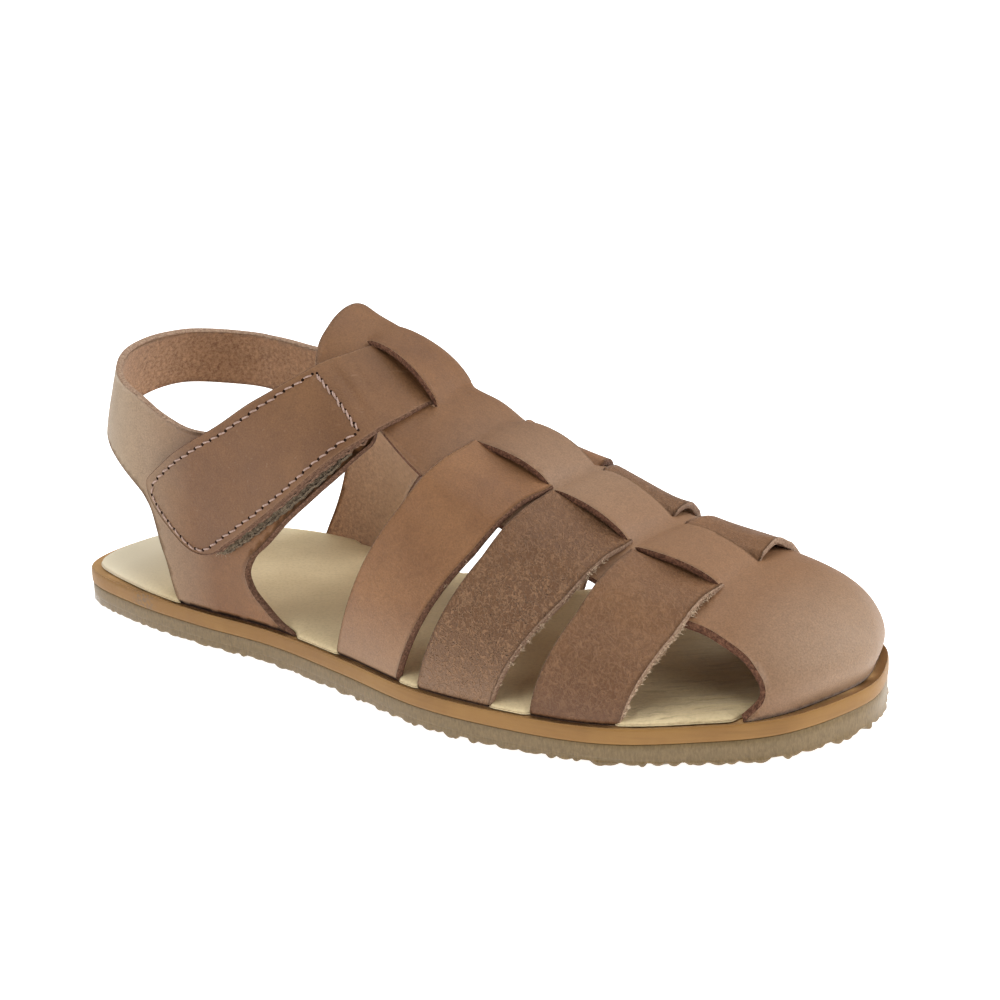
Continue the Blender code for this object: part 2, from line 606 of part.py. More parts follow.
def make_quarter():
    """Heel strap with its two legs and the lateral tongue under the closure strap, cut in one."""
    base = float(seat(0.0))
    runs = []
    for table in (QUARTER_LOWER, QUARTER_MEDIAL_FRONT, QUARTER_TOP, QUARTER_LATERAL_FRONT):
        runs.append([(around, base if up is None else up) for around, up in table])
    lower, medial_front, top, lateral_front = (through(run, EDGE_STEP) for run in runs)
    medial_base = through([lower[-1], medial_front[0]], EDGE_STEP)
    lateral_base = through([lateral_front[-1], lower[0]], EDGE_STEP)
    outline = [line[:-1] for line in (lower, medial_base, medial_front, top, lateral_front, lateral_base)]
    around, up = np.meshgrid(np.arange(-118, 122, BAND_STEP), np.arange(14, 78, BAND_STEP))
    points, faces = cut_pattern([np.vstack(outline)], np.stack([around.ravel(), up.ravel()], axis=1))
    inner = on_heel(points[:, 0], points[:, 1], np.zeros(len(points)))
    outer = on_heel(points[:, 0], points[:, 1], np.full(len(points), LEATHER))
    return thick_sheet("quarter", faces, inner, outer, "leather")


def closure_place(station, share):
    """Pattern place, turn and layer of the closure strap: station counts its rows, share runs across it."""
    rows = np.array(CLOSURE)
    knots = np.arange(len(rows), dtype=float)
    values = [smooth_curve(knots, rows[:, k], station) for k in range(4)]
    layer = np.interp(station, knots, rows[:, 4])
    return values[0] + (values[2] - values[0]) * share, values[1] + (values[3] - values[1]) * share, layer


def make_closure():
    """Closure strap from the medial side through the tab, with a rounded free end."""
    points, faces = grid_pattern(CLOSURE_ROWS, CLOSURE_COLS)
    across = (1 - np.cos(points[:, 1] * math.pi)) / 2
    last_row = len(CLOSURE) - 1
    edge = np.abs(across - 0.5) * 2
    pull = (1 - (1 - edge ** 3.2) ** 0.5) * np.where(across < 0.5, *TIP_CORNERS)
    station = points[:, 0] * last_row - pull * np.clip((points[:, 0] - 0.75) / 0.25, 0, 1)
    pattern, turn, layer = closure_place(station, across)
    lower = on_last(pattern, turn, layer)
    return thick_sheet("closure", faces, lower, on_last(pattern, turn, layer + LEATHER), "leather")


def make_tape(name, start, end, upper_share, lower_share, layer):
    """A hook or loop tape between the closure strap and the quarter."""
    points, faces = grid_pattern(12, 3)
    station = start + (end - start) * points[:, 0]
    pattern, turn, _ = closure_place(station, upper_share + (lower_share - upper_share) * points[:, 1])
    lower = on_last(pattern, turn, np.full(len(points), layer))
    upper = on_last(pattern, turn, np.full(len(points), layer + TAPE_THICK))
    return thick_sheet(name, faces, lower, upper, "tape")


def join(name, pieces):
    """One solid from pieces that overlap, by Boolean unions on the first; the rest become hidden guides."""
    body = pieces[0]
    body.name = name
    for piece in pieces[1:]:
        piece.hide_render = True
        piece.display_type = "WIRE"
        union = body.modifiers.new("join " + piece.name, "BOOLEAN")
        union.operation = "UNION"
        union.solver = "EXACT"
        union.object = piece
    return body


def main():
    for old in list(bpy.data.objects):
        bpy.data.objects.remove(old, do_unlink=True)
    make_outsole()
    make_midsole()
    make_insole()
    straps = [make_strap(number + 1, row) for number, row in enumerate(STRAPS)]
    join("upper", [make_vamp(), *straps, make_closure(), make_quarter()])
    for row in TAPES:
        make_tape(*row)


main()
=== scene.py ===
import math

import bpy
import numpy as np
from mathutils import Matrix, Vector
from mathutils.geometry import delaunay_2d_cdt


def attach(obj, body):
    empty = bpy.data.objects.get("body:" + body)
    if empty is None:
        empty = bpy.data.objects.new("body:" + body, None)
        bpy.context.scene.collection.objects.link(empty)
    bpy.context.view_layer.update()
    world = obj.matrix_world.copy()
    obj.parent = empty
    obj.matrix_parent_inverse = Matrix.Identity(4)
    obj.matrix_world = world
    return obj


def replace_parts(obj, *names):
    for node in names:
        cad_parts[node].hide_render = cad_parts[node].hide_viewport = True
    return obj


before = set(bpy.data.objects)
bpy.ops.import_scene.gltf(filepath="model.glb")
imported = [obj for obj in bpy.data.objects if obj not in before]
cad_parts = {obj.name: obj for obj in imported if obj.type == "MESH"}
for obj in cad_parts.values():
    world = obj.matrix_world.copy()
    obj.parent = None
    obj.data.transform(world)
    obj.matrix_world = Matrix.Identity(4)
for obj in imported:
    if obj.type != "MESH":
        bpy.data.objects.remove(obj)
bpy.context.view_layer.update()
print("frame loaded,", len(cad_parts), "nodes")

# Barefoot sandal, right shoe. Shapes are worked out in millimetres with the heel's back at along = 0,
# then moved to the middle of the footprint and turned into metres when a mesh is made.
mm = 0.001
dice = np.random.default_rng(7)

sole = {
    "length": 250.0, "outsoleThick": 5.8, "midsoleThick": 4.4, "insoleThick": 2.0, "seatGap": 0.3,
    "toeSpring": 4.5, "treadSpring": 2.9, "springFrom": 180.0, "leatherInset": 2.7,
    # along, across: from the heel's back along the lateral side to the toe and back
    "outline": np.array([
        (-0.5, -1), (2.8, -21), (26, -29.3), (55, -33), (85, -34.4), (115, -40.3), (145, -47.2), (172, -47.3),
        (200, -43), (220.5, -33.3), (240.5, -19.3), (250, 4), (247, 21.6), (237.3, 37.3), (220, 45),
        (195, 47), (170, 43.3), (140.5, 34.6), (110, 30), (80, 33), (52, 35.5), (26, 31), (7, 19),
    ], float),
}

sectionColumns = ("along", "ridgeAcross", "ridgeUp", "lateralFlat", "medialFlat", "swell")
lastSections = np.array([
    (0, 0.0, 150.0, 0.0, 0.0, 0.0), (34, 0.5, 150.0, 0.0, 0.0, 0.0), (60, 1.0, 124.0, 0.0, 0.0, 0.0),
    (84, 2.5, 98.0, 0.0, 0.0, 0.5), (92, 3.0, 93.3, 0.5, 0.0, 0.6), (104.5, 4.0, 87.6, 1.0, -1.2, 0.8),
    (123, 5.0, 74.8, 1.5, -1.6, 1.0), (140, 6.0, 66.7, 2.0, 0.5, 1.0), (163, 7.5, 57.6, 2.0, 2.2, 1.0),
    (188, 8.0, 46.9, 2.5, 2.2, 1.2), (213.5, 9.5, 39.3, 1.0, -1.3, 1.0), (250, 9.5, 33.6, 0.0, 0.0, 0.6),
])
toeCap = {"from": 213.5, "arc": 50.0, "power": 4.0, "root": 0.42, "swellFade": 12.0}
heelForm = {"middle": 36.0, "back": 6.2, "lean": 8.6, "low": 45.0, "top": 76.0, "leanPower": 1.5,
            "leanMost": 1.3, "blendFrom": 12.0, "blendFull": 42.0, "levelMost": 0.97}
probe = {"length": 0.8, "turn": 0.004, "around": 0.5, "up": 0.3}  # half steps of the central differences
seatHeight = sole["outsoleThick"] + sole["midsoleThick"] + 2 * sole["seatGap"]


def ramp(x, start, end):  # 0 at the start, 1 at the end, straight between
    return np.clip((x - start) / (end - start), 0, 1)


def bell(x, top, width):  # 1 at the top, falling as exp(-distance^2) in widths
    return np.exp(-((x - top) / width) ** 2)


def eased(share):  # 0 to 1 with level ends
    return share * share * (3 - 2 * share)


def byTable(rows, x):  # straight lines between the rows of a table with two columns
    return np.interp(x, *np.array(rows).T)


def runLength(line):  # distance along a line to each of its points
    return np.concatenate([[0], np.cumsum(np.linalg.norm(np.diff(line, axis=0), axis=1))])


def pointsAt(at, run, line):  # points of a line at given distances along it
    return np.stack([np.interp(at, run, line[:, k]) for k in (0, 1)], axis=1)


# cubic through the knots, each slope the mean of the two spans beside it weighted by their lengths
def smoothCurve(knots, values, x):
    spans = np.diff(knots)
    rise = np.diff(values) / spans
    inner = (rise[:-1] * spans[1:] + rise[1:] * spans[:-1]) / (spans[:-1] + spans[1:])
    slope = np.concatenate([rise[:1], inner, rise[-1:]])
    i = np.clip(np.searchsorted(knots, x) - 1, 0, len(spans) - 1)
    t = (x - knots[i]) / spans[i]
    start = (1 + 2 * t) * (1 - t) ** 2 * values[i] + t * (1 - t) ** 2 * spans[i] * slope[i]
    return start + t * t * (3 - 2 * t) * values[i + 1] + t * t * (t - 1) * spans[i] * slope[i + 1]


# points every step along a smooth open curve, measured by its chords
def throughPoints(points, step):
    points = np.array(points, float)
    chord = runLength(points)
    at = np.linspace(0, chord[-1], max(3, int(chord[-1] / step) + 1))
    if len(points) < 3:
        return pointsAt(at, chord, points)
    return np.stack([smoothCurve(chord, points[:, k], at) for k in (0, 1)], axis=1)


# Catmull-Rom loop: a cubic between each pair of points from the four around it
def closedCurve(points, perSpan):
    before, here, after, beyond = (np.roll(points, -k, axis=0)[:, None] for k in (-1, 0, 1, 2))
    t = np.linspace(0, 1, perSpan, endpoint=False)[None, :, None]
    square = (2 * before - 5 * here + 4 * after - beyond) * t ** 2
    cube = (3 * here - before - 3 * after + beyond) * t ** 3
    return (0.5 * (2 * here + (after - before) * t + square + cube)).reshape(-1, 2)


# each point moved left of the loop's direction by the distance
def insetLoop(loop, distance):
    along = np.roll(loop, -1, axis=0) - np.roll(loop, 1, axis=0)
    along /= np.linalg.norm(along, axis=1)[:, None]
    return loop + np.reshape(distance, (-1, 1)) * np.stack([-along[:, 1], along[:, 0]], axis=1)


def evenLoop(loop, count):  # the same loop with points at even distances
    ring = np.vstack([loop, loop[:1]])
    run = runLength(ring)
    return pointsAt(np.linspace(0, run[-1], count, endpoint=False), run, ring)


def sideLines(loop):  # lateral and medial halves, heel to toe
    loop = np.roll(loop, -int(loop[:, 0].argmin()), axis=0)
    toe = int(loop[:, 0].argmax())
    return loop[:toe + 1], np.vstack([loop[toe:], loop[:1]])[::-1]


outline = closedCurve(sole["outline"], 24)
fineOutline = closedCurve(sole["outline"], 200)
middle = (outline.min(axis=0) + outline.max(axis=0)) / 2
lateralBase, medialBase = sideLines(insetLoop(outline, sole["leatherInset"]))
tip = lateralBase[-1]
lateralRun, medialRun = -runLength(lateralBase), runLength(medialBase)
roundRun = np.concatenate([lateralRun[::-1], medialRun[1:]])
roundLine = np.vstack([lateralBase[::-1], medialBase[1:]])


# the lift grows with the square of the way past where the sole starts to rise
def sprung(along, lift):
    return lift * np.clip((along - sole["springFrom"]) / (sole["length"] - sole["springFrom"]), 0, None) ** 2


def seat(along):  # height where leather ends, just above the midsole
    return seatHeight + sprung(along, sole["toeSpring"])


def section(column, along):  # one column of the last's sections, smooth between them
    return smoothCurve(lastSections[:, 0], lastSections[:, sectionColumns.index(column)], along)


def capShare(along):  # 0 where the cap starts, 1 at its tip
    return ramp(along, toeCap["from"], tip[0])


# the ridge's height over the seat falls to nothing at the toe as (1 - share^power)^root
def ridge(along):
    share = capShare(along)
    across = section("ridgeAcross", along)
    across = across + (tip[1] - across) * share ** 2
    drop = (1 - share ** toeCap["power"]) ** toeCap["root"]
    return across, seat(along) + (section("ridgeUp", along) - seat(along)) * drop


def shoulderFlat(side, along):  # by the sign of the side
    return np.where(side < 0, section("lateralFlat", along), section("medialFlat", along))


def alongOf(pattern):  # over the cap the pattern length follows a quarter arc to the tip
    arc = np.clip((pattern - toeCap["from"]) / toeCap["arc"], 0, 1) * math.pi / 2
    onCap = toeCap["from"] + (tip[0] - toeCap["from"]) * np.sin(arc)
    return np.where(pattern > toeCap["from"], onCap, pattern)


def patternOf(along):  # the same, turned round
    arc = toeCap["arc"] * np.arcsin(capShare(along)) / (math.pi / 2)
    return np.where(along > toeCap["from"], toeCap["from"] + arc, along)


# half ellipses over the sole: turn -1 is the lateral base, 0 the ridge, 1 the medial base,
# with a sin(2a) swell outwards and a sin(2a)^2 flattening of the shoulders
def lastPoint(pattern, turn):
    along = alongOf(pattern)
    ridgeAcross, ridgeUp = ridge(along)
    lateral = np.interp(along, lateralBase[:, 0], lateralBase[:, 1])
    medial = np.interp(along, medialBase[:, 0], medialBase[:, 1])
    reach = np.where(turn < 0, lateral, medial) - ridgeAcross
    angle = np.abs(turn) * math.pi / 2
    fade = np.clip((tip[0] - along) / toeCap["swellFade"], 0, 1)
    swell = np.sign(reach) * section("swell", along) * fade * np.sin(2 * angle)
    flat = shoulderFlat(turn, along) * fade * np.sin(2 * angle) ** 2
    across = ridgeAcross + reach * np.sin(angle) + swell
    up = seat(along) + (ridgeUp - seat(along)) * np.cos(angle) - flat
    return np.stack([along, across, up], axis=-1)


def unit(vectors):  # each vector over its length
    return vectors / (np.linalg.norm(vectors, axis=-1, keepdims=True) + 1e-12)


# a point of the last moved out along the normal, which is the cross product of two central differences
def onLast(pattern, turn, offset):
    step, swing = probe["length"], probe["turn"]
    lengthwise = lastPoint(pattern + step, turn) - lastPoint(pattern - step, turn)
    crosswise = lastPoint(pattern, turn + swing) - lastPoint(pattern, turn - swing)
    normal = unit(np.cross(lengthwise, crosswise))
    atTip = (pattern > toeCap["from"] + toeCap["arc"] - step)[..., None]
    normal = np.where(atTip, np.array([1.0, 0.0, 0.0]), normal)
    return lastPoint(pattern, turn) + normal * np.asarray(offset)[..., None]


# the same last by distance round the base and height; behind the ankle the base line blends into an ellipse
def heelPoint(around, up):
    form = heelForm
    baseAlong = np.interp(around, roundRun, roundLine[:, 0])
    baseAcross = np.interp(around, roundRun, roundLine[:, 1])
    place = form["middle"]
    half = np.where(around < 0, -np.interp(place, lateralBase[:, 0], lateralRun),
                    np.interp(place, medialBase[:, 0], medialRun))
    wide = np.where(around < 0, -np.interp(place, *lateralBase.T), np.interp(place, *medialBase.T))
    angle = np.clip(around / half, -1, 1) * math.pi / 2
    rise = np.clip((up - form["low"]) / (form["top"] - form["low"]), 0, form["leanMost"])
    back = form["back"] + form["lean"] * rise ** form["leanPower"]
    blend = eased(ramp(up, form["blendFrom"], form["blendFull"])) * (np.abs(around) < half)
    along = baseAlong + (place - (place - back) * np.cos(angle) - baseAlong) * blend
    across = baseAcross + (wide * np.sin(angle) - baseAcross) * blend
    ridgeAcross, ridgeUp = ridge(along)

    def heightShare(height):
        return np.clip((height - seat(along)) / (ridgeUp - seat(along)), 0, form["levelMost"])

    share = heightShare(up)
    flat = shoulderFlat(around, along) * 4 * share ** 2 * (1 - share ** 2)
    share = heightShare(up + flat)
    level = np.sqrt(1 - share ** 2)
    swell = np.sign(across - ridgeAcross) * section("swell", along) * 2 * level * share
    return np.stack([along, ridgeAcross + (across - ridgeAcross) * level + swell, up], axis=-1)


def onHeel(around, up, offset):  # moved out along its normal like onLast
    step, lift = probe["around"], probe["up"]
    lengthwise = heelPoint(around + step, up) - heelPoint(around - step, up)
    upright = heelPoint(around, up + lift) - heelPoint(around, up - lift)
    return heelPoint(around, up) + unit(np.cross(upright, lengthwise)) * np.asarray(offset)[..., None]


# even-odd test: a point is inside where a ray along the first axis crosses the loops an odd number of times
def insideLoops(points, loops):
    found = np.zeros(len(points), bool)
    for loop in loops:
        for a, b in zip(loop, np.roll(loop, -1, axis=0)):
            if a[1] != b[1]:
                crossing = (points[:, 1] < a[1]) != (points[:, 1] < b[1])
                share = (points[:, 1] - a[1]) / (b[1] - a[1])
                found ^= crossing & (points[:, 0] < a[0] + share * (b[0] - a[0]))
    return found


def nearestGap(points, rim, perBlock=1500):  # distance from each point to the nearest rim point
    blocks = np.array_split(points, max(1, len(points) // perBlock))
    return np.concatenate([np.sqrt(((b[:, None] - rim[None]) ** 2).sum(axis=2)).min(axis=1) for b in blocks])


# triangles of a cut pattern: the loops' own points first, then the fill points that lie clear of them
def cutPattern(loops, fill, clear, flat=np.copy):
    planeLoops = [flat(loop) for loop in loops]
    rim = np.vstack(planeLoops)
    planeFill = flat(fill)
    keep = insideLoops(planeFill, planeLoops)
    fill, planeFill = fill[keep], planeFill[keep]
    keep = nearestGap(planeFill, rim) > clear
    points = np.vstack([*loops, fill[keep]])
    plane = np.vstack([rim, planeFill[keep]])
    rims, edges = [], []
    start = 0
    for loop in loops:
        ring = np.arange(start, start + len(loop))
        edges += np.stack([ring, np.roll(ring, -1)], axis=1).tolist()
        rims.append(ring)
        start += len(loop)
    made = delaunay_2d_cdt([Vector(p) for p in plane], edges, [], 1, 1e-6)
    faces = np.array([[made[3][k][0] for k in face] for face in made[2]])
    return points, faces[insideLoops(plane[faces].mean(axis=1), planeLoops)], rims


# a plain grid with both shares from 0 to 1, its faces as quads, and its border as one ring
def gridPattern(rows, cols):
    along, across = np.meshgrid(np.linspace(0, 1, rows + 1), np.linspace(0, 1, cols + 1), indexing="ij")
    index = np.arange((rows + 1) * (cols + 1)).reshape(rows + 1, cols + 1)
    faces = np.stack([index[:-1, :-1], index[1:, :-1], index[1:, 1:], index[:-1, 1:]], axis=-1).reshape(-1, 4)
    border = np.concatenate([index[:-1, 0], index[-1, :-1], index[:0:-1, -1], index[0, :0:-1]])
    return np.stack([along.ravel(), across.ravel()], axis=1), faces, [border]


# a staggered field of points over a rectangle, its rows a little closer than its columns
def hexField(low, high, step, rowShare=0.87):
    x, y = np.meshgrid(np.arange(low[0], high[0], step), np.arange(low[1], high[1], step * rowShare))
    x[::2] += step / 2
    return np.stack([x.ravel(), y.ravel()], axis=1)


def soleField(step):  # fill points over the whole sole
    return hexField((-5, -55), (255, 55), step)


# one mesh object from whole arrays; values are named numbers kept on its points
def putMesh(name, points, faceSets, slots, materials, values=None):
    coords = (np.asarray(points) - np.array([*middle, 0])) * mm
    corners = np.concatenate([np.asarray(f).ravel() for f in faceSets]).astype(np.int32)
    totals = np.concatenate([np.full(len(f), np.shape(f)[1]) for f in faceSets])
    mesh = bpy.data.meshes.new(name)
    mesh.vertices.add(len(coords))
    mesh.vertices.foreach_set("co", coords.astype(np.float32).ravel())
    mesh.loops.add(len(corners))
    mesh.loops.foreach_set("vertex_index", corners)
    mesh.polygons.add(len(totals))
    starts = np.concatenate([[0], np.cumsum(totals)[:-1]]).astype(np.int32)
    mesh.polygons.foreach_set("loop_start", starts)
    for material in materials:
        mesh.materials.append(material)
    mesh.polygons.foreach_set("material_index", np.asarray(slots, np.int32))
    for key, numbers in (values or {}).items():
        mesh.attributes.new(key, "FLOAT", "POINT").data.foreach_set("value", np.asarray(numbers, np.float32))
    mesh.update(calc_edges=True)
    mesh.validate()
    mesh.shade_smooth()
    made = bpy.data.objects.new(name, mesh)
    bpy.context.scene.collection.objects.link(made)
    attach(made, "root")
    return made


# a sheet with real thickness: outer layer, inner layer, and along every rim a rounded wall of four rings,
# each ring the outer rim moved out by roundOff * a and down by the thickness * b; flare slants the wall
def thickSheet(name, pattern, place, thick, materials, roundOff=0.3, values=None, flare=None):
    points, faces, rims = pattern
    outer, inner = place(points, thick), place(points, 0.0)
    normal = unit(outer - inner)
    corner = outer[faces]
    facing = np.cross(corner[:, 1] - corner[:, 0], corner[:, 2] - corner[:, 0])
    if (facing * normal[faces[:, 0]]).sum() < 0:
        faces = faces[:, ::-1]
    count = len(points)
    directed = np.stack([faces, np.roll(faces, -1, axis=1)], axis=-1).reshape(-1, 2) @ (count, 1)
    slant = np.zeros(count) if flare is None else flare(points)
    allPoints, sources = [outer, inner], [np.arange(count)] * 2
    quads = []
    total = 2 * count
    bend = ((0.6, 0.06), (1.0, 0.2), (1.0, 0.8), (0.6, 0.94))
    for rim in rims:
        if rim[0] * count + rim[1] not in directed:
            rim = rim[::-1]
        line, up, lean = outer[rim], normal[rim], slant[rim][:, None]
        outward = unit(np.cross(np.roll(line, -1, axis=0) - np.roll(line, 1, axis=0), up))
        rings = [rim]
        inner[rim] += outward * lean
        for out, down in bend:
            allPoints.append(line + outward * roundOff * out + (inner[rim] - line) * down)
            sources.append(rim)
            rings.append(np.arange(total, total + len(rim)))
            total += len(rim)
        rings.append(rim + count)
        for high, low in zip(rings, rings[1:]):
            quads.append(np.stack([np.roll(low, -1), low, high, np.roll(high, -1)], axis=1))
    walls = np.vstack(quads)
    slots = np.concatenate([np.zeros(len(faces)), np.ones(len(faces)), np.full(len(walls), 2)])
    source = np.concatenate(sources)
    stored = {"edge": nearestGap(outer, outer[np.concatenate(rims)])[source]}
    for key, numbers in (values or {}).items():
        stored[key] = numbers[source]
    sets = [faces, faces[:, ::-1] + count, walls]
    return putMesh(name, np.vstack(allPoints), sets, slots, materials, stored)


# smooth unevenness: a few sine waves across the place, each with its own direction, length and phase
def unevenness(a, b, seed, size, longest=34.0, waves=6):
    draw = np.random.default_rng(seed)
    total = np.zeros(np.shape(a))
    for _ in range(waves):
        angle, phase = draw.uniform(0, math.tau, 2)
        length = longest * draw.uniform(0.45, 1.0)
        total = total + np.sin((a * math.cos(angle) + b * math.sin(angle)) * math.tau / length + phase)
    return 2 * size * total / waves


creaseForm = {"ridge": 0.55, "ridgeAside": 1.3, "endPower": 4}  # beside a trough of depth and width 1


# one crease: a trough beside a lower ridge across its line, fading towards both ends
def crease(a, b, row):
    form = creaseForm
    fromA, fromB, toA, toB, width, depth = row
    run = np.hypot(toA - fromA, toB - fromB)
    ahead = np.array([toA - fromA, toB - fromB]) / run
    along = ((a - fromA) * ahead[0] + (b - fromB) * ahead[1]) / run
    aside = (-(a - fromA) * ahead[1] + (b - fromB) * ahead[0]) / width
    fade = np.exp(-np.clip(np.abs(along - 0.5) * 2, 0, 3) ** form["endPower"])
    return depth * fade * (form["ridge"] * bell(aside, form["ridgeAside"], 1) - bell(aside, 0, 1))


def creased(a, b, rows):  # the sum of all creases
    return sum(crease(a, b, row) for row in rows)


# material nodes: each socket takes a link from another node or a constant
def feed(tree, socket, value):
    if isinstance(value, bpy.types.NodeSocket):
        tree.links.new(value, socket)
    else:
        socket.default_value = value


def addNode(tree, kind, inputs=None, **settings):  # a node with its settings and sockets
    node = tree.nodes.new(kind)
    for key, value in settings.items():
        setattr(node, key, value)
    for key, value in (inputs or {}).items():
        feed(tree, node.inputs[key], value)
    return node


def newMaterial(name, **sockets):  # constants go on the shader; place is Object
    material = bpy.data.materials.new(name)
    material.use_nodes = True
    tree = material.node_tree
    shader = tree.nodes["Principled BSDF"]
    for key, value in sockets.items():
        shader.inputs[key.replace("_", " ")].default_value = value
    place = addNode(tree, "ShaderNodeTexCoord").outputs["Object"]
    return material, tree, shader, place


def dress(tree, shader, **sockets):  # what varies over the surface goes into the shader
    for key, value in sockets.items():
        tree.links.new(value, shader.inputs[key.replace("_", " ")])


def axes(tree, place):  # the three numbers of a place
    return addNode(tree, "ShaderNodeSeparateXYZ", {0: place}).outputs


def stretched(tree, place, scale, turn=None):  # turned first, then scaled along the turned axes
    if turn is not None:
        place = addNode(tree, "ShaderNodeMapping", {"Vector": place, "Rotation": turn}).outputs[0]
    return addNode(tree, "ShaderNodeMapping", {"Vector": place, "Scale": scale}).outputs[0]


def noise(tree, place, scale, detail=3.0, rough=0.5, distortion=0.0):  # about 0.3 to 0.7
    sockets = {"Vector": place, "Scale": scale, "Detail": detail, "Roughness": rough}
    return addNode(tree, "ShaderNodeTexNoise", {**sockets, "Distortion": distortion}).outputs["Fac"]


def ranged(tree, value, low, high, toLow=0.0, toHigh=1.0):  # one range to another, clamped
    sockets = {"Value": value, "From Min": low, "From Max": high, "To Min": toLow, "To Max": toHigh}
    return addNode(tree, "ShaderNodeMapRange", sockets).outputs["Result"]


def spread(tree, value, toLow=0.0, toHigh=1.0):  # the usual span of a noise drawn out to a range
    return ranged(tree, value, 0.3, 0.7, toLow, toHigh)


def figure(tree, operation, a, b):  # one sum on two numbers
    node = addNode(tree, "ShaderNodeMath", operation=operation)
    for socket, value in zip(node.inputs, (a, b)):
        feed(tree, socket, value)
    return node.outputs[0]


def times(tree, a, b):  # their product
    return figure(tree, "MULTIPLY", a, b)


def mixed(tree, share, first, second, blend="MIX"):  # the share of the second
    node = addNode(tree, "ShaderNodeMix", data_type="RGBA", blend_type=blend)
    for socket, value in zip((node.inputs[0], node.inputs[6], node.inputs[7]), (share, first, second)):
        feed(tree, socket, (*value, 1) if isinstance(value, tuple) else value)
    return node.outputs[2]


def bumped(tree, height, depth, strength=1.0, before=None):  # relief of a depth in metres
    inputs = {"Height": height, "Distance": depth, "Strength": strength}
    if before is not None:
        inputs["Normal"] = before
    return addNode(tree, "ShaderNodeBump", inputs).outputs["Normal"]


def kept(tree, name):  # a number stored on the mesh
    return addNode(tree, "ShaderNodeAttribute", attribute_name=name).outputs["Fac"]


leatherLook = {
    "deep": (0.150, 0.0645, 0.0237), "mid": (0.212, 0.0998, 0.0398), "worn": (0.350, 0.215, 0.125),
    # ashen and the pale grey after it: paler, greyer leather, partly painted sheen
    "pale": (0.320, 0.210, 0.134), "ashen": (0.300, 0.212, 0.143), "paleGreyAndSheen": (0.304, 0.219, 0.142),
    "dark": (0.104, 0.044, 0.017), "creviceShade": (0.022, 0.012, 0.008), "fold": (0.375, 0.198, 0.096),
    # noises: scale, detail, roughness
    "cloud": (48.0, 5.0, 0.6), "mottle": (260.0, 5.0, 0.7), "stipple": (2100.0, 3.0, 0.6),
    "mottleRange": (0.94, 1.06), "stippleRange": (0.82, 1.18), "stippleDepth": 0.00013,
    # folds: scale and turn of each noise, its stretch, and how dark the ground and how pale the lines are
    "folds": ((250.0, (0.3, 0.2, 0.5)), (410.0, (0.1, 0.5, 1.3))), "foldStretch": (1.0, 2.2, 1.5),
    "foldWidth": 0.06, "foldDepth": 0.00030, "foldGround": 0.3, "foldLine": 0.85,
    # heights where the folds begin and are full, and their share outside
    "gather": ((0.052, 0.038, 0.35), (0.014, 0.024, 0.5)),
    "streakScale": (900.0, 60.0, 900.0), "streakTurn": (0.4, 0.3, 0.6), "streakRange": (0.66, 0.76),
    "outerSide": (0.0, -0.03, 0.35),  # across from, to, and the share that the inner side gets
    # foot: painted crevice shade near the sole; rim: worn colour with a painted highlight on the rounded edge
    "footShadeRange": (0.25, 0.75, 0.0, 0.9), "rimRange": (0.0, 0.6, 0.4, 0.0), "rimFleck": (0.35, 0.6),
    "rough": (0.51, 0.62), "gloss": 0.36,
}


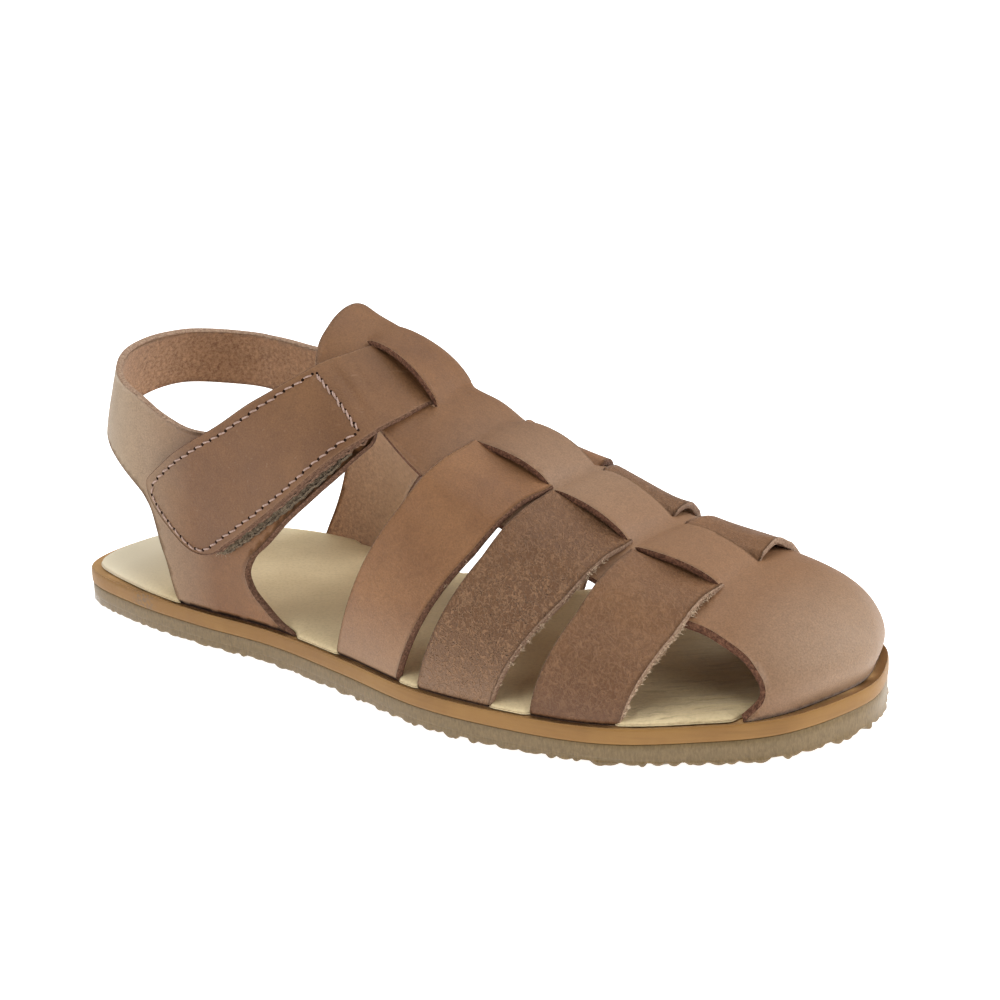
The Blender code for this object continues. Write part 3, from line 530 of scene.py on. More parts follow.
# waxed leather: a cloud noise mottles deep into mid brown, two finer noises darken and lighten it as a
# product, worn colour comes up along cut edges, partly as a painted highlight on their rounding, and
# painted shade darkens the crevice where the leather stands on the sole; pebble adds fine folds, the level
# lines of stretched noises, scratch the pale strokes, each fade row a tone that grows from its first to its
# second place along the shoe, and low a tone that grows downwards, most on the outer side
def waxedLeather(name, shade=1.0, pebble=0.0, scratch=0.0, fade=(), low=None):
    look = leatherLook
    tones = (tuple(shade * c for c in look[k]) for k in ("deep", "mid", "worn", "fold"))
    deep, middleTone, worn, foldTone = tones
    material, tree, shader, place = newMaterial(name, Specular_IOR_Level=look["gloss"])
    cloud, mottle, stipple = (noise(tree, place, *look[k]) for k in ("cloud", "mottle", "stipple"))
    along, across, height = axes(tree, place)
    colour = mixed(tree, spread(tree, cloud), deep, middleTone)
    for start, end, share, tone in fade:
        colour = mixed(tree, ranged(tree, along, start, end, 0.0, share), colour, look[tone])
    if low:
        top, bottom, share, tone = low
        outer = ranged(tree, across, *look["outerSide"], 1.0)
        down = times(tree, ranged(tree, height, top, bottom, 0.0, share), outer)
        colour = mixed(tree, down, colour, look[tone])
    soft = spread(tree, mottle, *look["mottleRange"])
    grain = times(tree, soft, spread(tree, stipple, *look["stippleRange"]))
    colour = mixed(tree, 1.0, colour, grain, "MULTIPLY")
    # painted shade: the crevice where the leather stands on the sole is darkened
    colour = mixed(tree, ranged(tree, kept(tree, "foot"), *look["footShadeRange"]), colour, look["creviceShade"])
    # worn colour along the cut edges, partly wear and partly a painted highlight on the rounded rim
    rim = ranged(tree, kept(tree, "edge"), *look["rimRange"])
    colour = mixed(tree, times(tree, rim, ranged(tree, stipple, *look["rimFleck"])), colour, worn)
    normal = bumped(tree, stipple, look["stippleDepth"], 0.9)
    if pebble:
        gather = times(tree, *(ranged(tree, height, *row, 1.0) for row in look["gather"]))
        colour = mixed(tree, times(tree, gather, look["foldGround"] * pebble), colour, look["dark"])
        for size, turn in look["folds"]:
            bent = stretched(tree, place, tuple(size * s for s in look["foldStretch"]), turn)
            fold = noise(tree, bent, 1.0, 2.0, 0.55, 0.6)
            line = figure(tree, "ABSOLUTE", figure(tree, "SUBTRACT", fold, 0.5), 0.0)
            line = times(tree, ranged(tree, line, 0.0, look["foldWidth"], 1.0, 0.0), gather)
            colour = mixed(tree, times(tree, line, look["foldLine"] * pebble), colour, foldTone)
            normal = bumped(tree, line, look["foldDepth"] * pebble, 0.8, normal)
    if scratch:
        streak = noise(tree, stretched(tree, place, look["streakScale"], look["streakTurn"]), 1.0, 2.0)
        colour = mixed(tree, ranged(tree, streak, *look["streakRange"], 0.0, scratch), colour, worn)
    dress(tree, shader, Base_Color=colour, Roughness=spread(tree, cloud, *look["rough"]), Normal=normal)
    return material


fleshLook = {
    "nap": (1000.0, 5.0, 0.75), "napDepth": 0.00035, "cloud": (140.0, 3.0, 0.6),
    "dark": (0.125, 0.054, 0.024), "light": (0.530, 0.298, 0.160), "soft": (0.34, 0.172, 0.084),
    "forwardTone": (0.66, 0.46, 0.31), "forwardRange": (-0.070, -0.040, 0.0, 0.5),  # along from, to, share from, to
}


# flesh side: short nap, so two noises set both colour and bump
def fleshSide(name):
    look = fleshLook
    material, tree, shader, place = newMaterial(
        name, Roughness=0.95, Sheen_Weight=0.25, Sheen_Roughness=0.6, Sheen_Tint=(1.0, 0.88, 0.76, 1))
    nap, cloud = (noise(tree, place, *look[k]) for k in ("nap", "cloud"))
    colour = mixed(tree, spread(tree, nap), look["dark"], look["light"])
    colour = mixed(tree, ranged(tree, cloud, 0.4, 0.7, 0.0, 0.35), colour, look["soft"])
    # lighter towards the front
    colour = mixed(tree, ranged(tree, axes(tree, place)["X"], *look["forwardRange"]), colour, look["forwardTone"])
    dress(tree, shader, Base_Color=colour, Normal=bumped(tree, nap, look["napDepth"], 0.8))
    return material


edgeLook = {
    "fibre": (1500.0, 4.0, 0.7), "depth": 0.0004, "raw": ((0.070, 0.028, 0.015), (0.260, 0.122, 0.070)),
    "fresh": ((0.230, 0.135, 0.085), (0.480, 0.340, 0.240)),
}


# cut edge: dark raw fibre with paler flecks; the number pale brings up the frayed beige of a fresh cut
def cutEdge(name):
    look = edgeLook
    material, tree, shader, place = newMaterial(name, Roughness=0.9, Specular_IOR_Level=0.25)
    fibre = noise(tree, place, *look["fibre"])
    raw = mixed(tree, ranged(tree, fibre, 0.42, 0.75), *look["raw"])
    fresh = mixed(tree, ranged(tree, fibre, 0.35, 0.65), *look["fresh"])
    colour = mixed(tree, kept(tree, "pale"), raw, fresh)
    dress(tree, shader, Base_Color=colour, Normal=bumped(tree, fibre, look["depth"], 1.0))
    return material


rawEdge, fleshNap = cutEdge("rawEdge"), fleshSide("fleshNap")
# fade and low tones: the ashen cap front and the pale grey heel are partly paler leather, partly painted
# sheen; the closure's free end takes the same pale grey
# frontLeather's dark lower end is partly staining, partly painted shade; the pale lower ends of rearLeather
# and pebbledLeather are partly wear, partly painted sheen
capLeather = waxedLeather(
    "capLeather", 0.90, 0.10, low=(0.030, 0.017, 0.45, "deep"),
    fade=((0.004, 0.036, 0.46, "pale"), (0.046, 0.072, 0.7, "mid"), (0.099, 0.126, 0.80, "ashen")))
rearLeather = waxedLeather("rearLeather", 1.12, 0.12, low=(0.032, 0.014, 0.5, "pale"))
frontLeather = waxedLeather("frontLeather", 0.88, 0.35, low=(0.034, 0.014, 1.0, "dark"))
pebbledLeather = waxedLeather("pebbledLeather", 0.75, 1.0, low=(0.032, 0.014, 0.4, "pale"))
closureLeather = waxedLeather("closureLeather", 0.87, 0.05, 0.25, fade=((-0.064, -0.090, 0.7, "paleGreyAndSheen"),))
quarterLeather = waxedLeather("quarterLeather", 1.03, fade=((-0.060, -0.098, 1.0, "paleGreyAndSheen"),))
print("leather finishes ready")

outsoleForm = {
    "points": 1500, "nubs": 150, "scatter": 0.45, "wide": (1.1, 3.0), "tall": (0.4, 1.0), "base": 1.1,
    "jut": 0.5, "topRise": 0.22, "fill": 5.0, "clear": 1.5,
    "growth": ((0, 0.3), (60, 0.45), (150, 0.8), (190, 1.0)),  # along, share of the nubs' height
}


# rubber sole: rings from the tread to the top; the lowest ones follow the nubs, each a parabola
# of its own place, width and height hung under the rim
def makeOutsole(material):
    form = outsoleForm
    count, nubs = form["points"], form["nubs"]
    base = evenLoop(fineOutline, count)
    around = runLength(np.vstack([base, base[:1]]))
    length = around[-1]
    spots = (np.arange(nubs) + dice.uniform(-form["scatter"], form["scatter"], nubs)) * (length / nubs)
    wide, tall = (dice.uniform(*form[k], nubs) for k in ("wide", "tall"))
    away = np.abs((around[:-1, None] - spots + length / 2) % length - length / 2) / wide
    hang = (tall * np.clip(1 - away ** 2, 0, 1)).max(axis=1)
    size = byTable(form["growth"], base[:, 0])
    foot = form["base"] * size * (1 - hang)
    out = form["jut"] * hang * size
    tread, lift = sole["treadSpring"], sole["toeSpring"]
    rows = (  # inset, height and toe spring of each ring
        (1.2 - out, foot, tread), (0.45 - out, foot + 0.15, tread), (0.2 - out, foot + 0.5, tread),
        (0.22 - 0.5 * out, 1.3 + 0.3 * foot, tread), (0.25, 2.3, tread), (0.25, 3.2, tread),
        (0.25, 4.4, (tread + lift) / 2), (0.25, sole["outsoleThick"], lift),
        (0.45, sole["outsoleThick"] + form["topRise"], lift),
    )
    rings = []
    for inset, up, rise in rows:
        loop = insetLoop(base, inset)
        rings.append(np.column_stack([loop, np.broadcast_to(up, count) + sprung(loop[:, 0], rise)]))
    fill = soleField(form["fill"])
    points, faces, starts = [], [], []
    total = 0
    for ring, row, flip in ((rings[0], rows[0], -1), (rings[-1], rows[-1], 1)):
        flat, caps, _ = cutPattern([ring[:, :2]], fill, form["clear"])
        up = np.min(row[1]) + sprung(flat[:, 0], row[2])
        up[:count] = ring[:, 2]
        points.append(np.column_stack([flat, up]))
        corner = points[-1][caps]
        turn = np.cross(corner[:, 1] - corner[:, 0], corner[:, 2] - corner[:, 0])[:, 2].sum() * flip
        faces.append((caps if turn > 0 else caps[:, ::-1]) + total)
        starts.append(total)
        total += len(flat)
    levels = [starts[0], *range(total, total + count * (len(rings) - 2), count), starts[1]]
    here = np.arange(count)
    after = np.roll(here, -1)
    walls = []
    for low, high in zip(levels, levels[1:]):
        walls.append(np.stack([low + here, low + after, high + after, high + here], axis=1))
    sets = [*faces, np.vstack(walls)]
    slots = np.zeros(sum(len(f) for f in sets))
    return putMesh("outsoleRubber", np.vstack([*points, *rings[1:-1]]), sets, slots, [material])


crepeLook = {
    "dark": (0.118, 0.076, 0.028), "light": (0.215, 0.142, 0.060), "soft": (0.160, 0.107, 0.046),
    "streakScale": (1900.0, 1900.0, 700.0), "streakDepth": 0.00012, "cloud": 60.0,
    "rough": (0.0018, 0.0035, 0.16, 0.45),  # height from, to, roughness from, to
}


# crepe rubber: grey-olive, a little light passes into it; fine upright streaks on its side
def crepeRubber():
    look = crepeLook
    material, tree, shader, place = newMaterial(
        "crepeRubber", Subsurface_Weight=0.2, Subsurface_Radius=(0.006, 0.005, 0.0035),
        Subsurface_Scale=0.4, Specular_IOR_Level=0.45)
    streak = noise(tree, stretched(tree, place, look["streakScale"]), 1.0, 3.0, 0.65)
    cloud = noise(tree, place, look["cloud"], 3.0)
    colour = mixed(tree, spread(tree, streak), look["dark"], look["light"])
    colour = mixed(tree, ranged(tree, cloud, 0.35, 0.7, 0.0, 0.35), colour, look["soft"])
    rough = ranged(tree, axes(tree, place)["Z"], *look["rough"])
    normal = bumped(tree, streak, look["streakDepth"], 0.7)
    dress(tree, shader, Base_Color=colour, Roughness=rough, Normal=normal)
    return material


outsole = makeOutsole(crepeRubber())
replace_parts(outsole, "outsole")
print("outsole made")

midsoleForm = {"points": 620, "roundOff": 0.3, "fill": 6.0, "clear": 1.5}
sheetLook = {
    # dark, light and streak tones of the cut edge and of the faces; the faces' paler tones are painted light
    # on the top ledge
    "edge": ((0.215, 0.104, 0.027), (0.273, 0.142, 0.039), (0.158, 0.074, 0.020)),
    "face": ((0.560, 0.320, 0.130), (0.660, 0.400, 0.180), (0.450, 0.250, 0.100)),
    "streakScale": (60.0, 60.0, 1300.0), "streakDepth": 0.00006, "cloud": 70.0,
    "fine": 1800.0, "rough": (0.44, 0.58),
    # one scuff near the heel: its place, how far it fades, its noise, strength and tone
    "scuffAt": (33.0, -30.8, 8.2), "scuffReach": (0.002, 0.007), "scuffGrain": 900.0, "scuffShare": 0.6,
    "scuff": (0.13, 0.10, 0.075),
}


# satin sheet: a cloud noise between two tones, faint streaks along its edge and the scuff
def tanSheet(name, tones):
    look = sheetLook
    material, tree, shader, place = newMaterial(name, Specular_IOR_Level=0.28)
    dark, light, line = tones
    streak = noise(tree, stretched(tree, place, look["streakScale"]), 1.0, 3.0)
    cloud = noise(tree, place, look["cloud"], 3.0)
    fine = noise(tree, place, look["fine"], 2.0)
    colour = mixed(tree, spread(tree, cloud), dark, light)
    colour = mixed(tree, ranged(tree, streak, 0.45, 0.75, 0.0, 0.3), colour, line)
    spot = tuple(np.array(look["scuffAt"]) * mm - np.array([*middle, 0]) * mm)
    away = addNode(tree, "ShaderNodeVectorMath", {0: place, 1: spot}, operation="DISTANCE").outputs["Value"]
    rub = ranged(tree, noise(tree, place, look["scuffGrain"]), 0.45, 0.6)
    rub = times(tree, ranged(tree, away, *look["scuffReach"], 1.0, 0.0), rub)
    colour = mixed(tree, times(tree, rub, look["scuffShare"]), colour, look["scuff"])
    normal = bumped(tree, streak, look["streakDepth"], 0.5)
    dress(tree, shader, Base_Color=colour, Roughness=spread(tree, fine, *look["rough"]), Normal=normal)
    return material


# sheet between rubber and leather: the outline drawn in by its rounding, at two heights
def makeMidsole(materials):
    form = midsoleForm
    low = sole["outsoleThick"] + sole["seatGap"]
    loop = insetLoop(evenLoop(fineOutline, form["points"]), form["roundOff"])
    pattern = cutPattern([loop], soleField(form["fill"]), form["clear"])

    def place(points, offset):
        return np.column_stack([points, low + offset + sprung(points[:, 0], sole["toeSpring"])])

    return thickSheet("midsoleSheet", pattern, place, sole["midsoleThick"], materials, form["roundOff"])


# one tan in two copies: the faces are painted lighter than the cut edge, as painted light on the ledge
tanEdge = tanSheet("tanEdge", sheetLook["edge"])
tanFaceLit = tanSheet("tanFaceLit", sheetLook["face"])
midsole = makeMidsole([tanFaceLit, tanFaceLit, tanEdge])
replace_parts(midsole, "midsole")
print("midsole made")

footbedForm = {
    "points": 620, "fill": 1.7, "fillGap": 0.7, "clear": 0.2, "roundOff": 0.12, "uneven": (3, 0.12, 40),
    "rimRings": (0.35, 0.8, 1.5, 2.4, 3.5), "rimFall": 4.2, "rimThick": 0.35, "toeFrom": (228, 240),
    "free": ((0, 3.3), (12, 3.0), (46, 1.1)), "held": 2.85, "toeHeld": 5.4, "blend": 2.2,
    # leather stands on the sole between these places, from the heel along each side
    "lateralHeld": ((48.6, 94.0), (112.4, 137.5), (145.5, 168.5), (180.6, 203.8), (231.0, 260.0)),
    "medialHeld": ((64.0, 108.0), (119.0, 144.0), (152.5, 175.5), (190.0, 213.5), (231.0, 260.0)),
    # from along, across, to along, across, half width, depth
    "creases": (
        (205, -28, 214, -40, 0.9, 0.45), (208, -26, 218, -36, 0.8, 0.40), (203, -30, 209, -42, 0.8, 0.45),
        (211, -22, 223, -33, 1.0, 0.30), (200, -24, 226, -10, 1.2, 0.25), (204, -28, 232, -12, 1.1, 0.28),
        (206, -20, 236, 0, 1.3, 0.25), (208, -32, 236, -18, 1.2, 0.28), (198, -14, 228, 6, 1.2, 0.25),
        (170, -34, 178, -44, 1.0, 0.25), (140, -30, 146, -42, 1.1, 0.22), (104, -22, 112, -34, 1.3, 0.22),
        (60, -18, 82, -28, 1.6, 0.16), (96, 12, 128, 20, 2.2, 0.16), (30, -20, 44, -27, 1.5, 0.15),
        (150, 6, 196, 14, 2.6, 0.18), (120, -6, 168, -10, 3.0, 0.18),
    ),
}


creamLook = {
    "dark": (0.565, 0.440, 0.245), "light": (0.680, 0.555, 0.335), "pore": (0.34, 0.26, 0.14),
    # wrinkle and toe: tones of painted shade, in the wrinkles and under the cap
    "wrinkle": (0.17, 0.122, 0.050), "heel": (0.82, 0.74, 0.56), "toe": (0.20, 0.148, 0.066),
    "cloud": (38.0, 4.0, 0.6), "speck": (1100.0, 3.0, 0.6), "speckDepth": 0.00008, "rough": (0.5, 0.66),
    "wrinkleScale": (120.0, 800.0, 120.0), "wrinkleTurn": (0, 0, -0.60), "wrinkleDepth": 0.0008,
    # place from, to, share from, to
    "toeRange": (0.055, 0.085, 0.15, 1.0), "heelRange": (-0.080, -0.110, 0.0, 0.8),
    "farShadeRange": (-0.034, -0.008, 0.0, 0.6),
}


# cream leather: soft mottling, fine pores, wrinkles from a stretched noise that gather at the toe, their dark
# strokes painted shade, paler at the heel, and darker under the cap on the far side of the toe as painted
# shade
def creamLeather():
    look = creamLook
    material, tree, shader, place = newMaterial(
        "creamLeather", Specular_IOR_Level=0.35, Sheen_Weight=0.1, Sheen_Roughness=0.5)
    cloud, speck = (noise(tree, place, *look[k]) for k in ("cloud", "speck"))
    bent = stretched(tree, place, look["wrinkleScale"], look["wrinkleTurn"])
    wrinkle = noise(tree, bent, 1.0, 4.0, 0.6, 0.5)
    along, across, _ = axes(tree, place)
    toeward = ranged(tree, along, *look["toeRange"])
    colour = mixed(tree, spread(tree, cloud), look["dark"], look["light"])
    colour = mixed(tree, ranged(tree, speck, 0.35, 0.55, 0.25, 0.0), colour, look["pore"])
    # painted shade in the wrinkles: dark strokes gathered at the toe
    wrinkleShade = times(tree, ranged(tree, wrinkle, 0.30, 0.48, 0.5, 0.0), toeward)
    colour = mixed(tree, wrinkleShade, colour, look["wrinkle"])
    colour = mixed(tree, ranged(tree, along, *look["heelRange"]), colour, look["heel"])
    # painted shade under the cap, on the far side of the toe
    toeShade = times(tree, toeward, ranged(tree, across, *look["farShadeRange"]))
    colour = mixed(tree, toeShade, colour, look["toe"])
    normal = bumped(tree, times(tree, wrinkle, toeward), look["wrinkleDepth"], 0.6)
    normal = bumped(tree, speck, look["speckDepth"], 0.7, normal)
    dress(tree, shader, Base_Color=colour, Roughness=spread(tree, cloud, *look["rough"]), Normal=normal)
    return material


# share 1 where leather stands on the sole beside a place, 0 in the gaps between
def heldShare(along, across):
    form = footbedForm
    shares = []
    for key in ("lateralHeld", "medialHeld"):
        inside = [np.minimum(along - start, end - along) / form["blend"] for start, end in form[key]]
        shares.append(np.clip(np.max(inside, axis=0) + 0.5, 0, 1))
    return np.where(across < 0, shares[0], shares[1])


# footbed: a sheet that reaches the edge between the straps and draws back beside them, thinned to its rim;
# the upper face carries the placed creases and a slight unevenness
def makeFootbed(material):
    form = footbedForm
    base = evenLoop(fineOutline, form["points"])
    held = np.interp(base[:, 0], form["toeFrom"], (form["held"], form["toeHeld"]))
    free = byTable(form["free"], base[:, 0])
    loop = insetLoop(base, free + (held - free) * heldShare(*base.T))
    rings = [insetLoop(loop, inset) for inset in form["rimRings"]]
    field = soleField(form["fill"])
    field = field[nearestGap(field, loop) > form["rimRings"][-1] + form["fillGap"]]
    pattern = cutPattern([loop], np.vstack([*rings, field]), form["clear"])

    def place(points, offset):
        a, b = points[:, 0], points[:, 1]
        inward = np.clip(nearestGap(points, loop) / form["rimFall"], 0, 1)
        relief = unevenness(a, b, *form["uneven"]) + creased(a, b, form["creases"])
        full = form["rimThick"] + (offset - form["rimThick"]) * np.sqrt(1 - (1 - inward) ** 2)
        return np.column_stack([points, seat(a) + (offset > 0) * (full + relief * inward)])

    return thickSheet("footbed", pattern, place, sole["insoleThick"], [material] * 3, form["roundOff"])


footbed = makeFootbed(creamLeather())
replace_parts(footbed, "insole")
print("footbed made")

leatherThick = 2.0
turnScale = 100.0  # pattern units of one turn, from the ridge to a base
turnReach = 45.0  # millimetres that one turn stands for in the relief
footForm = {"pinch": 0.45, "high": 0.9}  # the outer face draws in where leather stands on the sole


def footShare(above):  # 1 on the sole, gone two heights above it
    return bell(above, 0, footForm["high"])


def pinched(offset, above):  # less of the offset near the sole
    return offset * (1 - footForm["pinch"] * footShare(above))


# rear and front edge of each strap at the lateral sole, lateral slit, medial slit and medial sole
strapRows = (
    (112.4, 137.5, 138.2, 162.4, 141.0, 164.1, 119.0, 144.0),
    (145.5, 168.5, 163.0, 187.2, 166.5, 188.4, 152.5, 175.5),
    (180.6, 203.8, 188.8, 213.8, 192.5, 214.8, 190.0, 213.5),
)
weave = {
    "closureSlits": (101.0, 124.3, 101.5, 122.5), "closureFront": 132.0, "slitHalf": 0.3, "sweep": 1.15,
    # the bar's rise over what passes under it, and how far its top leans to the rear or front by side
    "hump": 2.6, "archPower": 0.6, "archSkew": (1.3, 0.85), "closureSkew": (1.2, 1.4), "clear": 0.08,
    # a strap's heights over the last, and the turns in which it climbs, comes near and ducks under
    "under": -0.2, "over": 2.05, "slitEnd": 0.9, "slitMid": 0.45, "slitLip": 0.005,
    "climb": (0.12, 0.15), "approach": (0.13, 0.30), "duck": (0.002, 0.02),
    # the vamp's dip beside a slit, and the curl of the bar's lateral edge
    "dip": 2.2, "dipReach": (0.07, 0.17), "closureDip": 0.13, "curl": (2.0, 0.9), "curlReach": 0.05,
    # along, turn of each slit line
    "lateral": ((90, -0.13), (130, -0.14), (140, -0.165), (163, -0.17), (188, -0.19), (214, -0.225),
                (264, -0.24)),
    "medial": ((90, 0.18), (124, 0.175), (141, 0.125), (152, 0.10), (164, 0.055), (188, 0.04), (214, 0.01),
               (264, 0.01)),
}
slitRows = [row[2:6] for row in strapRows] + [weave["closureSlits"]]
vampForm = {
    "step": 1.5, "edge": 1.3, "slitStep": 1.0, "roundOff": 0.3, "uneven": (11, 0.08), "calmTip": 20.0,
    "openingFlare": 1.0, "flareAlong": (204.0, 212.0), "flareAside": 0.05, "tabFront": 116.5, "tabRim": 0.5,
    "tabTone": 0.6, "footShadeShare": 0.8,
    # the cap's foot tucks in by a depth and height, below a belt of a fullness, height and width
    "tuck": (2.3, 4.0), "belt": (0.8, 9.0, 5.0), "tuckAlong": (232.0, 244.0),
    "saddle": (131.0, 6.0, 0.15, 0.2, 1.2),  # along, its width, turn, its width, rise before the first strap
    # from along, across, to along, across, half width, depth
    "creases": ((160, -9, 167, 0, 1.8, 0.30), (185, -10, 192, 0, 1.8, 0.30), (128, -12, 133, 4, 2.2, 0.25)),
    # along, lateral turn, medial turn
    "margin": np.array([
        (90.3, -0.265, 0.33), (92.8, -0.335, 0.41), (105, -0.335, 0.44), (116.5, -0.348, 0.45),
        (133, -0.371, 0.45), (159, -0.371, 0.38), (186, -0.370, 0.325), (203, -0.392, 0.325),
        (211, -0.420, 0.345), (216.5, -0.441, 0.38), (222.4, -0.491, 0.44), (228.4, -0.564, 0.53),
        (232.1, -0.652, 0.63), (234.6, -0.769, 0.76), (234.6, -0.873, 0.88), (231.0, -1.0, 1.0),
    ]),
    "tip": ((89.8, -0.17), (89.4, 0.03), (89.8, 0.24)),
}


def slitLine(side, along):  # turn of a slit line
    return byTable(weave[side], along)


# a narrow slot with pointed ends along a slit line, in pattern units
def slitLoop(start, end, side):
    along = np.linspace(start, end, int((end - start) / vampForm["slitStep"]) + 2)
    bank = np.full(len(along), weave["slitHalf"])
    bank[[0, -1]] = 0
    across = slitLine(side, along) * turnScale
    there = np.column_stack([patternOf(along), across + bank])
    back = np.column_stack([patternOf(along), across - bank])[::-1]
    return np.vstack([there, back[1:-1]])


# the centre bar's rise over what passes under it: sin(pi * place^skew) to a power,
# place between the slit's ends
def barArch(along, turn):
    share = ramp(turn, slitLine("lateral", along), slitLine("medial", along))
    rise = np.zeros(np.shape(along))
    for row in slitRows:
        rear, front = (row[k] + (row[k + 2] - row[k]) * share for k in (0, 1))
        nearSkew, farSkew = weave["archSkew" if row[0] > weave["closureFront"] else "closureSkew"]
        place = ramp(along, rear, front) ** (nearSkew + (farSkew - nearSkew) * share)
        rise = np.maximum(rise, np.sin(math.pi * place) ** weave["archPower"])
    return rise


def underBar(arch):  # height of leather that passes just under the arched bar
    return weave["hump"] * arch - leatherThick - weave["clear"]


def vampFlat(points):  # cap as a half disc round its tip, the rest as a band
    reach = toeCap["from"] + toeCap["arc"] - points[:, 0]
    angle = points[:, 1] / turnScale * math.pi / 2
    disc = np.minimum(reach, toeCap["arc"])
    return np.stack([disc - reach - disc * np.cos(angle), disc * np.sin(angle)], axis=1)


def vampUnflat(points):  # the same, turned round
    angle = np.arcsin(np.clip(points[:, 1] / toeCap["arc"], -1, 1))
    reach = toeCap["arc"] - points[:, 0] - toeCap["arc"] * np.cos(angle)
    disc = np.linalg.norm(points, axis=1)
    onDisc = (disc < toeCap["arc"]) & (points[:, 0] < 0)
    angle = np.where(onDisc, np.arctan2(points[:, 1], -points[:, 0]), angle)
    pattern = toeCap["from"] + toeCap["arc"] - np.where(onDisc, disc, reach)
    return np.stack([pattern, angle / (math.pi / 2) * turnScale], axis=1)


# toe cap, centre bar and tab in one: the pattern on the last, the bar arched between its slits
def makeVamp():
    form = vampForm
    margin = form["margin"]
    lateral, medial = (np.column_stack([patternOf(margin[:, 0]), margin[:, k] * turnScale]) for k in (1, 2))
    end = toeCap["from"] + toeCap["arc"]
    tabTip = np.array(form["tip"])[::-1] * (1, turnScale)
    border = throughPoints(np.vstack([medial[::-1], tabTip, lateral]), form["edge"])
    lateralEnd = throughPoints([lateral[-1], (end, -turnScale)], form["edge"])
    medialEnd = throughPoints([(end, turnScale), medial[-1]], form["edge"])
    loops = [np.vstack([border[:-1], lateralEnd[:-1], [(end, 0)], medialEnd[1:-1]])]
    for row in slitRows:
        loops += [slitLoop(row[0], row[1], "lateral"), slitLoop(row[2], row[3], "medial")]
    field = hexField((margin[0, 0] - end, -toeCap["arc"]), (0, toeCap["arc"]), form["step"])
    pattern = cutPattern(loops, vampUnflat(field), 0.5 * form["step"], vampFlat)

    def aboveSeat(length, turn):  # height of the last over the sole
        return lastPoint(length, turn)[:, 2] - seat(alongOf(length))

    def place(points, offset):
        length, turn = points[:, 0], points[:, 1] / turnScale
        along = alongOf(length)
        near, far = (slitLine(side, along) for side in ("lateral", "medial"))
        atClosure = along < weave["closureFront"]
        nearReach = np.where(atClosure, weave["closureDip"], weave["dipReach"][0])
        aside = np.maximum((near - turn) / nearReach, (turn - far) / weave["dipReach"][1])
        curl = np.where(atClosure, *weave["curl"]) * bell(turn, near, weave["curlReach"])
        onBar = (turn > near) & (turn < far)
        rise = np.where(onBar, weave["hump"] + curl, -weave["dip"] * bell(aside, 0, 1)) * barArch(along, turn)
        calm = np.clip((end - length) / form["calmTip"], 0, 1)
        soft = unevenness(along, turn * turnReach, *form["uneven"]) * calm
        soft = soft + creased(along, turn * turnReach, form["creases"])
        saddleAt, saddleWide, saddleTurn, saddleReach, saddleRise = form["saddle"]
        soft = soft + saddleRise * bell(along, saddleAt, saddleWide) * bell(turn, saddleTurn, saddleReach)
        above = aboveSeat(length, turn)
        depth, high = form["tuck"]
        fullness, *belt = form["belt"]
        tuck = depth * bell(above, 0, high) - fullness * bell(above, *belt)
        return onLast(length, turn, rise + soft + offset - tuck * ramp(along, *form["tuckAlong"]))

    def flare(points):  # the opening's cut leans out behind the strap
        along, turn = alongOf(points[:, 0]), points[:, 1] / turnScale
        opening = (turn > -0.999) & (turn < slitLine("lateral", along) - form["flareAside"])
        return form["openingFlare"] * ramp(along, *form["flareAlong"]) * opening

    spots = pattern[0]
    tabEdge = (spots[:, 0] < form["tabFront"]) & (nearestGap(spots, border) < form["tabRim"])
    # painted crevice shade where the cap stands on the sole
    foot = form["footShadeShare"] * footShare(aboveSeat(spots[:, 0], spots[:, 1] / turnScale))
    values = {"pale": np.where(tabEdge, form["tabTone"], 0.0), "foot": foot}
    finish = [capLeather, fleshNap, rawEdge]
    return thickSheet("toeCapAndBar", pattern, place, leatherThick, finish, form["roundOff"], values, flare)


# layer of a cross strap: on the last, up over the vamp's margins, then through the slit and under the bar
def strapLayer(along, turn, middlePlace):
    margin = vampForm["margin"]
    left, right = (np.interp(middlePlace, margin[:, 0], margin[:, k]) for k in (1, 2))
    near, far = slitLine("lateral", middlePlace), slitLine("medial", middlePlace)
    low, over, lip = weave["under"], weave["over"], weave["slitLip"]
    climb, approach, (duck, ducked) = weave["climb"], weave["approach"], weave["duck"]
    arch = barArch(along, turn)
    layer = np.interp(turn, (left - climb[0], left, right, right + climb[1]), (low, over, over, low))
    coming = (near - lip - approach[0], near - lip, far + lip, far + lip + approach[1])
    atSlit = weave["slitEnd"] + (weave["slitMid"] - weave["slitEnd"]) * arch
    layer = layer + (atSlit - layer) * eased(np.interp(turn, coming, (0, 1, 1, 0)))
    beneath = np.minimum(underBar(arch), layer)
    tuck = np.interp(turn, (near + duck, near + ducked, far + duck, far + ducked), (0, 1, 1, 0))
    return layer + (beneath - layer) * tuck


crossStrapForm = {
    "rows": 170, "cols": 24, "halfLength": 75.0, "roundOff": 0.3, "uneven": (0.07, 30), "rearTone": 0.5,
    # one value for each strap
    "finish": (rearLeather, pebbledLeather, frontLeather), "frontTone": (0.1, 0.6, 0.85),
    "lift": (1.0, 1.9, 3.3), "cornerLift": (0.8, 0.7, 0.6), "flare": (0.4, 0.35, 0.4), "clumps": (2, 24, 40),
    # the front edge lifts beside the medial and the lateral slit: turn from the slit, width, power across
    "liftAt": (0.12, 0.11, 2.5), "cornerAt": (-0.11, 0.07, 5), "front": 0.9, "flareSpan": (0.36, 0.26),
    # frayed fibres: number in a clump, its spread, where along the strap, depth in the edge, way out of it
    "clumpSize": 9, "clumpSpread": 0.0035, "fraySpan": (0.03, 0.365), "frayDepth": (0.1, 1.7),
    "frayOut": 0.25,
}
